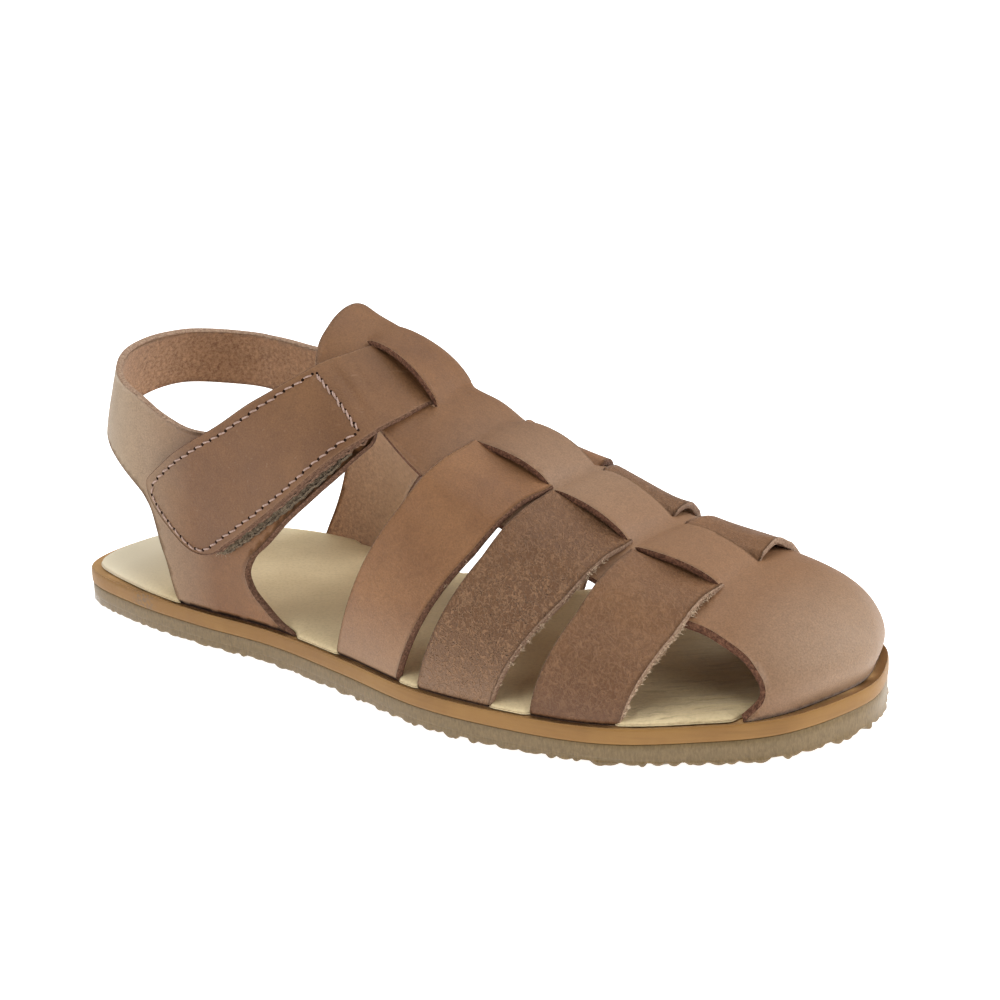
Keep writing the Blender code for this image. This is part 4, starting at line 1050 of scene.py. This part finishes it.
frayed = []


# a strap from sole to sole: its edges run from the sole places to the slit places as share^sweep
def makeCrossStrap(number, row):
    form = crossStrapForm
    finish, frontTone, lift, cornerLift, lean, clumps = (
        form[key][number - 1] for key in ("finish", "frontTone", "lift", "cornerLift", "flare", "clumps"))
    middlePlace = (row[2] + row[3]) / 2
    near, far = slitLine("lateral", middlePlace), slitLine("medial", middlePlace)

    def place(points, offset):
        turn, across = points[:, 0] * 2 - 1, points[:, 1]
        lateral, medial = (ramp(turn, slit, end) ** weave["sweep"] for slit, end in ((near, -1), (far, 1)))
        edges = []
        for k in (0, 1):
            under = row[2 + k] + (row[4 + k] - row[2 + k]) * ramp(turn, near, far)
            edges.append(under + (row[k] - row[2 + k]) * lateral + (row[6 + k] - row[4 + k]) * medial)
        along = edges[0] + (edges[1] - edges[0]) * across
        soft = unevenness(along, turn * turnReach, 20 + number, *form["uneven"])
        for rise, slit, key in ((lift, far, "liftAt"), (cornerLift, near, "cornerAt")):
            aside, wide, power = form[key]
            soft = soft + rise * across ** power * bell(turn, slit + aside, wide)
        length = patternOf(along)
        thick = pinched(offset, lastPoint(length, turn)[:, 2] - seat(along))
        return onLast(length, turn, strapLayer(along, turn, middlePlace) + soft + thick)

    def flare(points):  # the front edge leans out on the lateral side
        return lean * (points[:, 1] > form["front"]) * ramp(points[:, 0], *form["flareSpan"])

    spot = np.repeat(dice.uniform(*form["fraySpan"], clumps), form["clumpSize"])
    count = len(spot)
    spot = np.clip(spot + dice.normal(0, form["clumpSpread"], count), 0.01, 0.99)
    depth = dice.uniform(*form["frayDepth"], count)
    front = np.ones(count)
    roots = place(np.column_stack([spot, front]), depth)
    outward = unit(roots - place(np.column_stack([spot, front * 0.96]), depth))
    out = lean * (1 - depth / leatherThick) + form["frayOut"]
    frayed.append((roots + outward * out[:, None], outward))
    pattern = gridPattern(form["rows"], form["cols"])
    turn, across = pattern[0].T
    pale = np.where(across > form["front"], frontTone, form["rearTone"])
    # foot: painted crevice shade where the strap stands on the sole
    values = {"pale": pale, "foot": footShare((1 - np.abs(turn * 2 - 1)) * form["halfLength"])}
    name, materials = f"crossStrap{number}", [finish, fleshNap, rawEdge]
    return thickSheet(name, pattern, place, leatherThick, materials, form["roundOff"], values, flare)


quarterForm = {
    "step": 1.6, "edge": 1.4, "field": ((-128, 10), (126, 80)), "roundOff": 0.3, "uneven": (31, 0.12),
    "frontFlare": 0.4, "flareBefore": -82.0, "flareBelow": 60.0,
    "topAbove": 44.0, "topWithin": 80.0, "sideTone": 0.15, "topTone": 0.75,
    # distance round the base from the heel's back, height; 0 stands for the seat
    "lower": (
        (-57.2, 0), (-55, 16.2), (-52.8, 23.2), (-51, 27.5), (-49.5, 32.5), (-47.5, 37.8), (-44, 41.8),
        (-40.2, 44.9), (-34, 48.8), (-26.2, 52), (-15, 55.2), (-4, 57.8), (6, 59.4), (18, 60), (37, 58.4),
        (57.4, 57.1), (70, 56), (79, 52.5), (83.3, 47), (83.8, 42), (81.3, 33.5), (77, 23),
        (72.5, 14), (71, 0),
    ),
    "medialFront": (
        (116, 0), (109.5, 15), (106, 20), (105, 24.5), (106, 29.5), (110, 35.5), (116, 42), (122, 49),
        (123, 54), (118, 58), (106, 63), (94, 68.5),
    ),
    "top": (
        (94, 68.5), (83, 71.5), (72, 72.3), (60.3, 73.5), (49, 74), (37.3, 74.8), (26.7, 75.8), (16, 76.6),
        (4.3, 77), (-9.6, 76.5), (-22, 74.8), (-33, 72.3), (-43.2, 69.7), (-51.8, 66), (-61.8, 63.1),
        (-69.5, 62.8), (-80, 63.6), (-92, 67.5), (-104, 71.5),
    ),
    "lateralFront": (
        (-104, 71.5), (-113, 72.4), (-120, 71.4), (-123.6, 69.0), (-124.2, 66.2), (-122.0, 63.6),
        (-116.2, 57.6), (-110, 52.2), (-98.4, 42.0), (-91.8, 35.3), (-86.2, 29.8), (-84.4, 25.2),
        (-85.7, 21.4), (-90.9, 16.6), (-96.3, 12.9), (-102, 0),
    ),
}


# heel strap, its two legs and the lateral tongue in one: a pattern of round and height bent onto the heel
def makeQuarter():
    form = quarterForm
    base = float(seat(0.0))
    runs = []
    for key in ("lower", "medialFront", "top", "lateralFront"):
        runs.append(throughPoints([(around, up or base) for around, up in form[key]], form["edge"]))
    lower, medialFront, top, lateralFront = runs
    medialEnd = throughPoints([lower[-1], medialFront[0]], form["edge"])
    lateralEnd = throughPoints([lateralFront[-1], lower[0]], form["edge"])
    loop = np.vstack([line[:-1] for line in (lower, medialEnd, medialFront, top, lateralFront, lateralEnd)])
    pattern = cutPattern([loop], hexField(*form["field"], form["step"]), 0.5 * form["step"])

    def place(points, offset):
        soft = unevenness(points[:, 0], points[:, 1], *form["uneven"])
        return onHeel(points[:, 0], points[:, 1], soft + pinched(offset, points[:, 1] - base))

    def flare(points):  # the lateral front edge leans out
        return form["frontFlare"] * (points[:, 0] < form["flareBefore"]) * (points[:, 1] < form["flareBelow"])

    around, up = pattern[0].T
    topEdge = (up > form["topAbove"]) & (np.abs(around) < form["topWithin"])
    # foot: painted crevice shade where the strap stands on the sole
    values = {"pale": form["sideTone"] + form["topTone"] * topEdge, "foot": footShare(up - base)}
    finish = [quarterLeather, fleshNap, rawEdge]
    return thickSheet("heelStrap", pattern, place, leatherThick, finish, form["roundOff"], values, flare)


closureForm = {
    "rows": 200, "cols": 30, "roundOff": 0.3, "tipCorners": (0.7, 1.0), "tipFrom": 0.75, "cornerPower": 3.2,
    "rootRound": 0.5, "rootTo": 0.15, "edgeTone": 0.2, "flatSize": (130, 26), "uneven": (41, 0.10, 24),
    # upper edge along, turn, lower edge along, turn, distance of the inner face from the last
    "table": np.array([
        (72.0, 0.63, 98.0, 0.68, 2.1), (84.0, 0.55, 110.0, 0.56, 2.1),
        (94.0, 0.43, 115.5, 0.43, 2.1), (101.0, 0.275, 118.5, 0.275, 0.9),
        (103.5, 0.175, 120.5, 0.175, 0.2), (103.5, 0.085, 122.0, 0.085, 0.0),
        (103.0, -0.06, 122.5, -0.06, 0.0), (102.8, -0.13, 122.0, -0.134, 0.0),
        (99.3, -0.222, 119.6, -0.245, 1.0), (94.8, -0.297, 116.2, -0.345, 2.4),
        (90.0, -0.383, 112.4, -0.440, 4.2), (79.0, -0.523, 103.5, -0.583, 4.8),
        (66.9, -0.655, 91.5, -0.706, 4.8), (50.9, -0.768, 78.4, -0.808, 4.8),
        (45.5, -0.803, 71.0, -0.858, 4.8), (40.0, -0.836, 64.1, -0.909, 4.8),
    ]),
    "underBar": (-0.130, -0.112, 0.155, 0.175),
    # from along, across, to along, across, half width, depth
    "creases": ((77, 3, 80, 23, 1.5, 0.16), (72, 5, 74, 20, 1.3, 0.12), (100, 4, 108, 20, 2.4, 0.12)),
}


def closurePlace(station, share):  # pattern place, turn and layer by table row and share across
    rows = closureForm["table"]
    knots = np.arange(len(rows), dtype=float)
    upper, upperTurn, lower, lowerTurn = (smoothCurve(knots, rows[:, k], station) for k in range(4))
    length = upper + (lower - upper) * share
    turn = upperTurn + (lowerTurn - upperTurn) * share
    outside = np.interp(station, knots, rows[:, 4])
    beneath = np.minimum(underBar(barArch(length, turn)), outside)
    tuck = np.interp(turn, closureForm["underBar"], (0, 1, 1, 0))
    return length, turn, outside + (beneath - outside) * tuck


# the free end is rounded by pulling its corners back: (1 - sqrt(1 - edge^power)) rows
def closureStation(share, across):
    form = closureForm
    edge = np.abs(across - 0.5) * 2
    pull = (1 - np.sqrt(1 - edge ** form["cornerPower"])) * np.where(across < 0.5, *form["tipCorners"])
    ends = ramp(share, form["tipFrom"], 1) - form["rootRound"] * ramp(share, form["rootTo"], 0)
    return share * (len(form["table"]) - 1) - pull * ends


def onClosure(share, across, offset):  # moved out from the last by its layer and relief
    form = closureForm
    length, turn, layer = closurePlace(closureStation(share, across), across)
    a, b = share * form["flatSize"][0], across * form["flatSize"][1]
    soft = unevenness(a, b, *form["uneven"]) + creased(a, b, form["creases"])
    return onLast(length, turn, layer + soft + offset)


# closure strap: grid of share along and share across, the columns crowded towards both edges
def makeClosure():
    form = closureForm

    def place(points, offset):
        return onClosure(points[:, 0], (1 - np.cos(points[:, 1] * math.pi)) / 2, offset)

    pattern = gridPattern(form["rows"], form["cols"])
    finish = [closureLeather, fleshNap, rawEdge]
    pale = np.full(len(pattern[0]), form["edgeTone"])
    return thickSheet("closureStrap", pattern, place, leatherThick, finish, form["roundOff"], {"pale": pale})


leatherPieces = [makeVamp()]
leatherPieces += [makeCrossStrap(k + 1, row) for k, row in enumerate(strapRows)]
leatherPieces += [makeQuarter(), makeClosure()]
for piece in leatherPieces:
    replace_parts(piece, "upper")
print("leather pieces made:", ", ".join(piece.name for piece in leatherPieces))

tapeForm = {
    # first and last closure row, share across at the upper edge, layer, thickness
    "loopPile": (10.25, 14.4, 0.08, 2.1, 1.2), "hookPile": (9.7, 14.4, 0.08, 3.45, 1.2),
    # closure row and share across at the lower edge
    "loopPileLower": ((10.25, 1.01), (10.8, 1.04), (11.5, 1.055), (13.3, 1.065), (14.0, 1.06), (14.4, 1.03)),
    "hookPileLower": ((9.7, 1.0), (14.4, 1.0)),
    "rows": 130, "cols": 26, "roundOff": 0.3, "edgeTone": 0.35, "clear": 0.1,
    "ragged": (0.012, 9.1, 23.7), "roughScale": (3, 140), "rough": (51, 0.12, 9),
    # fibres: number, share across, lengths, lean, radius, and how they grow towards the free end
    "fibres": 3600, "fibreSpan": (0.86, 1.0), "fibreLength": (0.5, 1.3), "fibreLean": 0.75,
    "fibreRadius": 0.06, "fibreGrowth": ((0, 0.7), (0.9, 1), (1, 1.7)),
    "dark": (0.070, 0.049, 0.030), "light": (0.290, 0.216, 0.138),
    "fibreTones": ((0.190, 0.138, 0.088), (0.610, 0.495, 0.350)),
}


# pile: dark olive with paler fibre tips
def pileFabric():
    form = tapeForm
    material, tree, shader, place = newMaterial("pileFabric", Roughness=0.95)
    fibre = noise(tree, place, 1700.0, 5.0, 0.75)
    colour = mixed(tree, ranged(tree, fibre, 0.38, 0.68), form["dark"], form["light"])
    dress(tree, shader, Base_Color=colour, Normal=bumped(tree, fibre, 0.0006, 1.0))
    return material


# a place on a tape from shares along and across; the lower edge is a little ragged
def onTape(name, along, across, offset):
    form = tapeForm
    start, end, upper, layer, thick = form[name]
    station = start + (end - start) * along
    depth, slow, fast = form["ragged"]
    ragged = depth * np.sin(station * slow) * np.sin(station * fast + 1)
    lower = byTable(form[name + "Lower"], station) + ragged
    length, turn, outside = closurePlace(station, upper + (lower - upper) * across)
    a, b = length * form["roughScale"][0], turn * form["roughScale"][1]
    rough = unevenness(a, b, *form["rough"]) * (np.asarray(offset) > 0)
    return onLast(length, turn, np.minimum(layer, outside - thick - form["clear"]) + rough + offset)


# hook or loop tape: a thin sheet between the closure strap and the quarter, its face made uneven
def makeTape(name, material):
    form = tapeForm
    pattern = gridPattern(form["rows"], form["cols"])
    edge = rawEdge if name == "hookPile" else material

    def place(points, offset):
        return onTape(name, points[:, 0], points[:, 1], offset)

    pale = {"pale": np.full(len(pattern[0]), form["edgeTone"])}
    finish = [material, material, edge]
    return thickSheet(name, pattern, place, form[name][-1], finish, form["roundOff"], pale)


# walls of round skins from an index of piece, step and side
def tubeWalls(index):
    side = np.roll(index, -1, axis=2)
    return np.stack([index[:, :-1], side[:, :-1], side[:, 1:], index[:, 1:]], axis=-1).reshape(-1, 4)


fibreForm = {"bend": 0.6, "taper": (1.0, 0.85, 0.6)}


# loose fibres: thin three-sided spikes from their roots, each bent by t^2 towards its own side
def makeFibres(name, roots, ways, lengths, radius, material):
    taper = np.array(fibreForm["taper"])
    count, steps = len(roots), len(taper)
    t = np.linspace(0, 1, steps + 1)[None, :, None]
    bend = fibreForm["bend"] * dice.normal(size=(count, 1, 3)) * lengths[:, None, None]
    line = roots[:, None] + unit(ways)[:, None] * lengths[:, None, None] * t + bend * t ** 2 * 0.5
    aside = unit(np.cross(ways, dice.normal(size=(count, 3))))
    other = unit(np.cross(ways, aside))
    turn = np.arange(3) * math.tau / 3
    around = aside[:, None] * np.cos(turn)[:, None] + other[:, None] * np.sin(turn)[:, None]
    skin = line[:, :steps, None] + radius * taper[None, :, None, None] * around[:, None]
    index = np.arange(count * steps * 3).reshape(count, steps, 3)
    tips = np.repeat(np.arange(count), 3) + index.size
    last = index[:, -1]
    caps = np.stack([last.ravel(), np.roll(last, -1, axis=1).ravel(), tips], axis=1)
    sets = [tubeWalls(index), np.vstack([caps, index[:, 0, ::-1]])]
    points = np.vstack([skin.reshape(-1, 3), line[:, steps]])
    return putMesh(name, points, sets, np.zeros(sum(len(f) for f in sets)), [material])


def fibreFinish(name, dark, light):  # a noise between two tones
    material, tree, shader, place = newMaterial(name, Roughness=0.9)
    shade = noise(tree, place, 900.0, 2.0)
    dress(tree, shader, Base_Color=mixed(tree, ranged(tree, shade, 0.35, 0.65), dark, light))
    return material


# fibres stand on the loop tape where it shows below the closure strap
def pileFibres():
    form = tapeForm
    count, top = form["fibres"], form["loopPile"][-1]
    along, across = dice.uniform(0.0, 1.0, count) ** 0.8, dice.uniform(*form["fibreSpan"], count)
    roots = onTape("loopPile", along, across, np.full(count, top - 0.1))
    above = unit(onTape("loopPile", along, across, np.full(count, top + 0.5)) - roots)
    ways = above + form["fibreLean"] * dice.normal(size=roots.shape)
    lengths = dice.uniform(*form["fibreLength"], count) * byTable(form["fibreGrowth"], along)
    finish = fibreFinish("pileFibre", *form["fibreTones"])
    return makeFibres("pileFibres", roots, ways, lengths, form["fibreRadius"], finish)


pile = pileFabric()
for tapeName, node in (("loopPile", "loop_patch"), ("hookPile", "hook_patch")):
    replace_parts(makeTape(tapeName, pile), node)
pileFibres()
print("tapes made")

frayForm = {"length": (0.5, 1.3), "worn": (0.5, 1.0), "lean": 0.7, "radius": 0.15,
            "tones": ((0.34, 0.225, 0.140), (0.62, 0.47, 0.33))}


# fibres of the straps' frayed edges, each worn off to a share of its length
def frayFibres():
    form = frayForm
    roots, ways = (np.vstack([pair[k] for pair in frayed]) for k in (0, 1))
    lengths = dice.uniform(*form["length"], len(roots)) * dice.uniform(*form["worn"], len(roots))
    ways = ways + form["lean"] * dice.normal(size=roots.shape)
    finish = fibreFinish("frayFibre", *form["tones"])
    return makeFibres("frayFibres", roots, ways, lengths, form["radius"], finish)


frayFibres()
print("frayed edges made")

stitchForm = {
    "pitch": 3.05, "crossPitch": 2.44, "smooth": 6, "radius": 0.27, "sides": 7, "steps": 7,
    # thread: ends of a stitch as shares of the pitch, depth in the holes, crown over the leather, slant
    "span": (0.06, 0.94), "sink": 0.35, "crown": 0.30, "slant": 0.55, "stray": 0.12,
    "thin": 0.55, "flat": 0.85,
    "holeRadius": 0.50, "holeSides": 10, "holeCrown": 0.09, "holeDepth": 0.25,
    # seams as shares along and across the closure strap
    "inset": 0.075, "end": 0.989, "crossAt": (9.52, 9.72), "again": ((0.0018, 0.035), (0.0014, -0.05)),
    "root": ((0.030, 0.10), (0.030, 0.90)),
}


def onGrain(shares, above=0.0):  # places over the closure strap's outer face
    return onClosure(shares[:, 0], shares[:, 1], leatherThick + above)


# evenly spaced places along a polyline of grid shares on the closure strap, its corners rounded by a mean
def stitchPlaces(shares, pitch):
    smooth = stitchForm["smooth"]
    runs = [np.linspace(a, b, 60, endpoint=False) for a, b in zip(shares, shares[1:])]
    dense = np.concatenate(runs + [shares[-1:]])
    kernel = np.ones(2 * smooth + 1) / (2 * smooth + 1)
    padded = np.pad(dense, ((smooth, smooth), (0, 0)), mode="edge")
    dense = np.stack([np.convolve(padded[:, k], kernel, mode="valid") for k in (0, 1)], axis=1)
    run = runLength(onGrain(dense, np.zeros(len(dense))))
    return pointsAt(np.linspace(0, run[-1], int(round(run[-1] / pitch)) + 1), run, dense)


# thread: between each pair of holes a round section follows the leather, its height sin(pi t)^0.45 above it,
# from hole to hole slightly aslant; both ends dive into the holes and are closed
def makeStitches(paths, material):
    form = stitchForm
    starts = np.vstack([p[:-1] for p in paths])
    ends = np.vstack([p[1:] for p in paths])
    count, steps, sides = len(starts), form["steps"], form["sides"]
    t = np.linspace(0, 1, steps)
    share = form["span"][0] + (form["span"][1] - form["span"][0]) * t
    flat = (starts[:, None] + (ends - starts)[:, None] * share[None, :, None]).reshape(-1, 2)
    height = (form["sink"] + form["crown"]) * np.sin(math.pi * t) ** 0.45 - form["sink"]
    lift = np.broadcast_to(height, (count, steps)).ravel()
    centre = onGrain(flat, lift).reshape(count, -1, 3)
    above = unit(onGrain(flat, lift + 0.5).reshape(count, -1, 3) - centre)
    ahead = unit(np.gradient(centre, axis=1))
    aside = unit(np.cross(ahead, above))
    above = np.cross(aside, ahead)
    slant = (t - 0.5) * form["slant"] + form["stray"] * dice.normal(size=(count, 1))
    centre = centre + aside * slant[..., None]
    turn = np.linspace(0, math.tau, sides, endpoint=False)
    thin = form["thin"]
    fat = form["radius"] * (thin + (1 - thin) * np.sin(math.pi * t) ** 0.5)[None, :, None, None]
    ring = aside[:, :, None] * np.cos(turn)[:, None]
    ring = ring + above[:, :, None] * np.sin(turn)[:, None] * form["flat"]
    skin = (centre[:, :, None] + fat * ring).reshape(-1, 3)
    index = np.arange(len(skin)).reshape(count, steps, sides)
    side = np.roll(index, -1, axis=2)
    first = len(skin) + np.repeat(np.arange(count), sides)
    fans = [np.stack([first, side[:, 0].ravel(), index[:, 0].ravel()], axis=1),
            np.stack([first + count, index[:, -1].ravel(), side[:, -1].ravel()], axis=1)]
    sets = [tubeWalls(index), np.vstack(fans)]
    points = np.vstack([skin, centre[:, 0], centre[:, -1]])
    return putMesh("closureThread", points, sets, np.zeros(sum(len(f) for f in sets)), [material])


# needle holes: flat closed lenses at the ends of the stitches
def makeHoles(paths, material):
    form = stitchForm
    spots = np.vstack(paths)
    count, sides = len(spots), form["holeSides"]
    centre = onGrain(spots, np.zeros(count))
    above = unit(onGrain(spots, np.full(count, 0.5)) - centre)
    aside = unit(np.cross(above, np.array([0.3, 0.2, 0.9])))
    other = np.cross(above, aside)
    turn = np.linspace(0, math.tau, sides, endpoint=False)
    around = aside[:, None] * np.cos(turn)[:, None] + other[:, None] * np.sin(turn)[:, None]
    ring = (centre[:, None] + form["holeRadius"] * around).reshape(-1, 3)
    points = np.vstack([ring, centre + form["holeCrown"] * above, centre - form["holeDepth"] * above])
    index = np.arange(count * sides).reshape(count, sides)
    side = np.roll(index, -1, axis=1)
    top = np.repeat(np.arange(count), sides) + count * sides
    fans = np.vstack([np.stack([index.ravel(), side.ravel(), top], axis=1),
                      np.stack([side.ravel(), index.ravel(), top + count], axis=1)])
    return putMesh("needleHoles", points, [fans], np.zeros(len(fans)), [material])


def threadFinish():  # fine twist between two tones
    material, tree, shader, place = newMaterial("sewingThread", Roughness=0.7, Sheen_Weight=0.2)
    twist = noise(tree, place, 2400.0, 2.0)
    colour = mixed(tree, ranged(tree, twist, 0.35, 0.65), (0.27, 0.165, 0.125), (0.44, 0.30, 0.245))
    dress(tree, shader, Base_Color=colour, Normal=bumped(tree, twist, 0.0001, 0.6))
    return material


def holeFinish():  # nearly black
    material, tree, shader, place = newMaterial("holeShade", Roughness=1.0, Specular_IOR_Level=0.05)
    fibre = noise(tree, place, 2000.0, 2.0)
    colour = mixed(tree, ranged(tree, fibre, 0.4, 0.7), (0.012, 0.006, 0.004), (0.040, 0.020, 0.012))
    dress(tree, shader, Base_Color=colour)
    return material


# the seam round the free end, the cross line sewn twice, and the seam that holds the inner end to its leg
def seamPaths():
    form = stitchForm
    rows = len(closureForm["table"]) - 1
    low, high = form["inset"], 1 - form["inset"]
    upper, lower = ((at / rows, across) for at, across in zip(form["crossAt"], (low, high)))
    aroundEnd = np.array([upper, (form["end"], low), (form["end"], high), lower])
    cross = np.array([upper, lower])
    seams = ((aroundEnd, "pitch"), (cross, "crossPitch"), (cross + np.array(form["again"]), "crossPitch"),
             (np.array(form["root"]), "pitch"))
    return [stitchPlaces(path, form[pitch]) for path, pitch in seams]


stitchPaths = seamPaths()
for piece in (makeStitches(stitchPaths, threadFinish()), makeHoles(stitchPaths, holeFinish())):
    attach(piece, "root")
print("stitches:", sum(len(p) - 1 for p in stitchPaths))

# studio
photo = {"eye": (0.40975, -0.53064, 0.27491), "azimuth": 36.55, "elevation": 18.92, "roll": 2.40,
         "lens": 92.78, "sensor": 36.0, "clip": (0.05, 30.0)}


def makeCamera():  # looks back along its angles from the eye, rolled
    a, e, r = (math.radians(photo[k]) for k in ("azimuth", "elevation", "roll"))
    back = Vector((math.sin(a) * math.cos(e), -math.cos(a) * math.cos(e), math.sin(e)))
    right = Vector((math.cos(a), math.sin(a), 0))
    up = back.cross(right)
    tilted = right * math.cos(r) - up * math.sin(r)
    upright = right * math.sin(r) + up * math.cos(r)
    data = bpy.data.cameras.new("photoCamera")
    data.lens = photo["lens"]
    data.sensor_width = photo["sensor"]
    data.clip_start, data.clip_end = photo["clip"]
    camera = bpy.data.objects.new("photoCamera", data)
    turn = Matrix((tilted, upright, back)).transposed().to_4x4()
    camera.matrix_world = Matrix.Translation(Vector(photo["eye"])) @ turn
    bpy.context.scene.collection.objects.link(camera)
    bpy.context.scene.camera = camera


studio = {
    "aim": (0, 0, 0.03), "worldColour": (1.0, 0.99, 0.975, 1), "worldStrength": 0.24, "floorHalf": 6,
    "floorTones": ((0.90, 0.895, 0.885), (0.93, 0.925, 0.915)), "floorGlow": 0.9,
    "softboxes": (  # name, place, size, watts
        ("topBox", (0.0, 0.0, 1.2), 1.0, 8.0), ("farBox", (0.78, 0.62, 0.60), 0.6, 7.6),
        ("leftBox", (-0.55, -0.80, 0.35), 0.7, 3.6), ("toeBox", (0.90, -0.30, 0.60), 0.55, 2.6),
        ("backBox", (-0.10, 0.80, 0.95), 0.9, 2.1),
    ),
}


def makeLights():  # square lamps turned to one aim, and a pale world
    for name, place, size, watts in studio["softboxes"]:
        data = bpy.data.lights.new(name, "AREA")
        data.energy, data.size = watts, size
        lamp = bpy.data.objects.new(name, data)
        lamp.location = place
        lamp.rotation_euler = (Vector(studio["aim"]) - Vector(place)).to_track_quat("-Z", "Y").to_euler()
        bpy.context.scene.collection.objects.link(lamp)
    world = bpy.data.worlds.new("studioWorld")
    world.use_nodes = True
    background = world.node_tree.nodes["Background"]
    background.inputs["Color"].default_value = studio["worldColour"]
    background.inputs["Strength"].default_value = studio["worldStrength"]
    bpy.context.scene.world = world
    bpy.context.scene.view_settings.view_transform = "Standard"


def makeFloor():  # a wide pale square that glows
    material, tree, shader, place = newMaterial(
        "paleFloor", Roughness=0.9, Specular_IOR_Level=0.1, Emission_Color=(1, 1, 1, 1),
        Emission_Strength=studio["floorGlow"])
    dress(tree, shader, Base_Color=mixed(tree, noise(tree, place, 3.0), *studio["floorTones"]))
    mesh = bpy.data.meshes.new("studioFloor")
    half = studio["floorHalf"]
    corners = [(-half, -half, 0), (half, -half, 0), (half, half, 0), (-half, half, 0)]
    mesh.from_pydata(corners, [], [(0, 1, 2, 3)])
    mesh.materials.append(material)
    floor = bpy.data.objects.new("studioFloor", mesh)
    bpy.context.scene.collection.objects.link(floor)


makeCamera()
makeLights()
makeFloor()
print("studio ready")
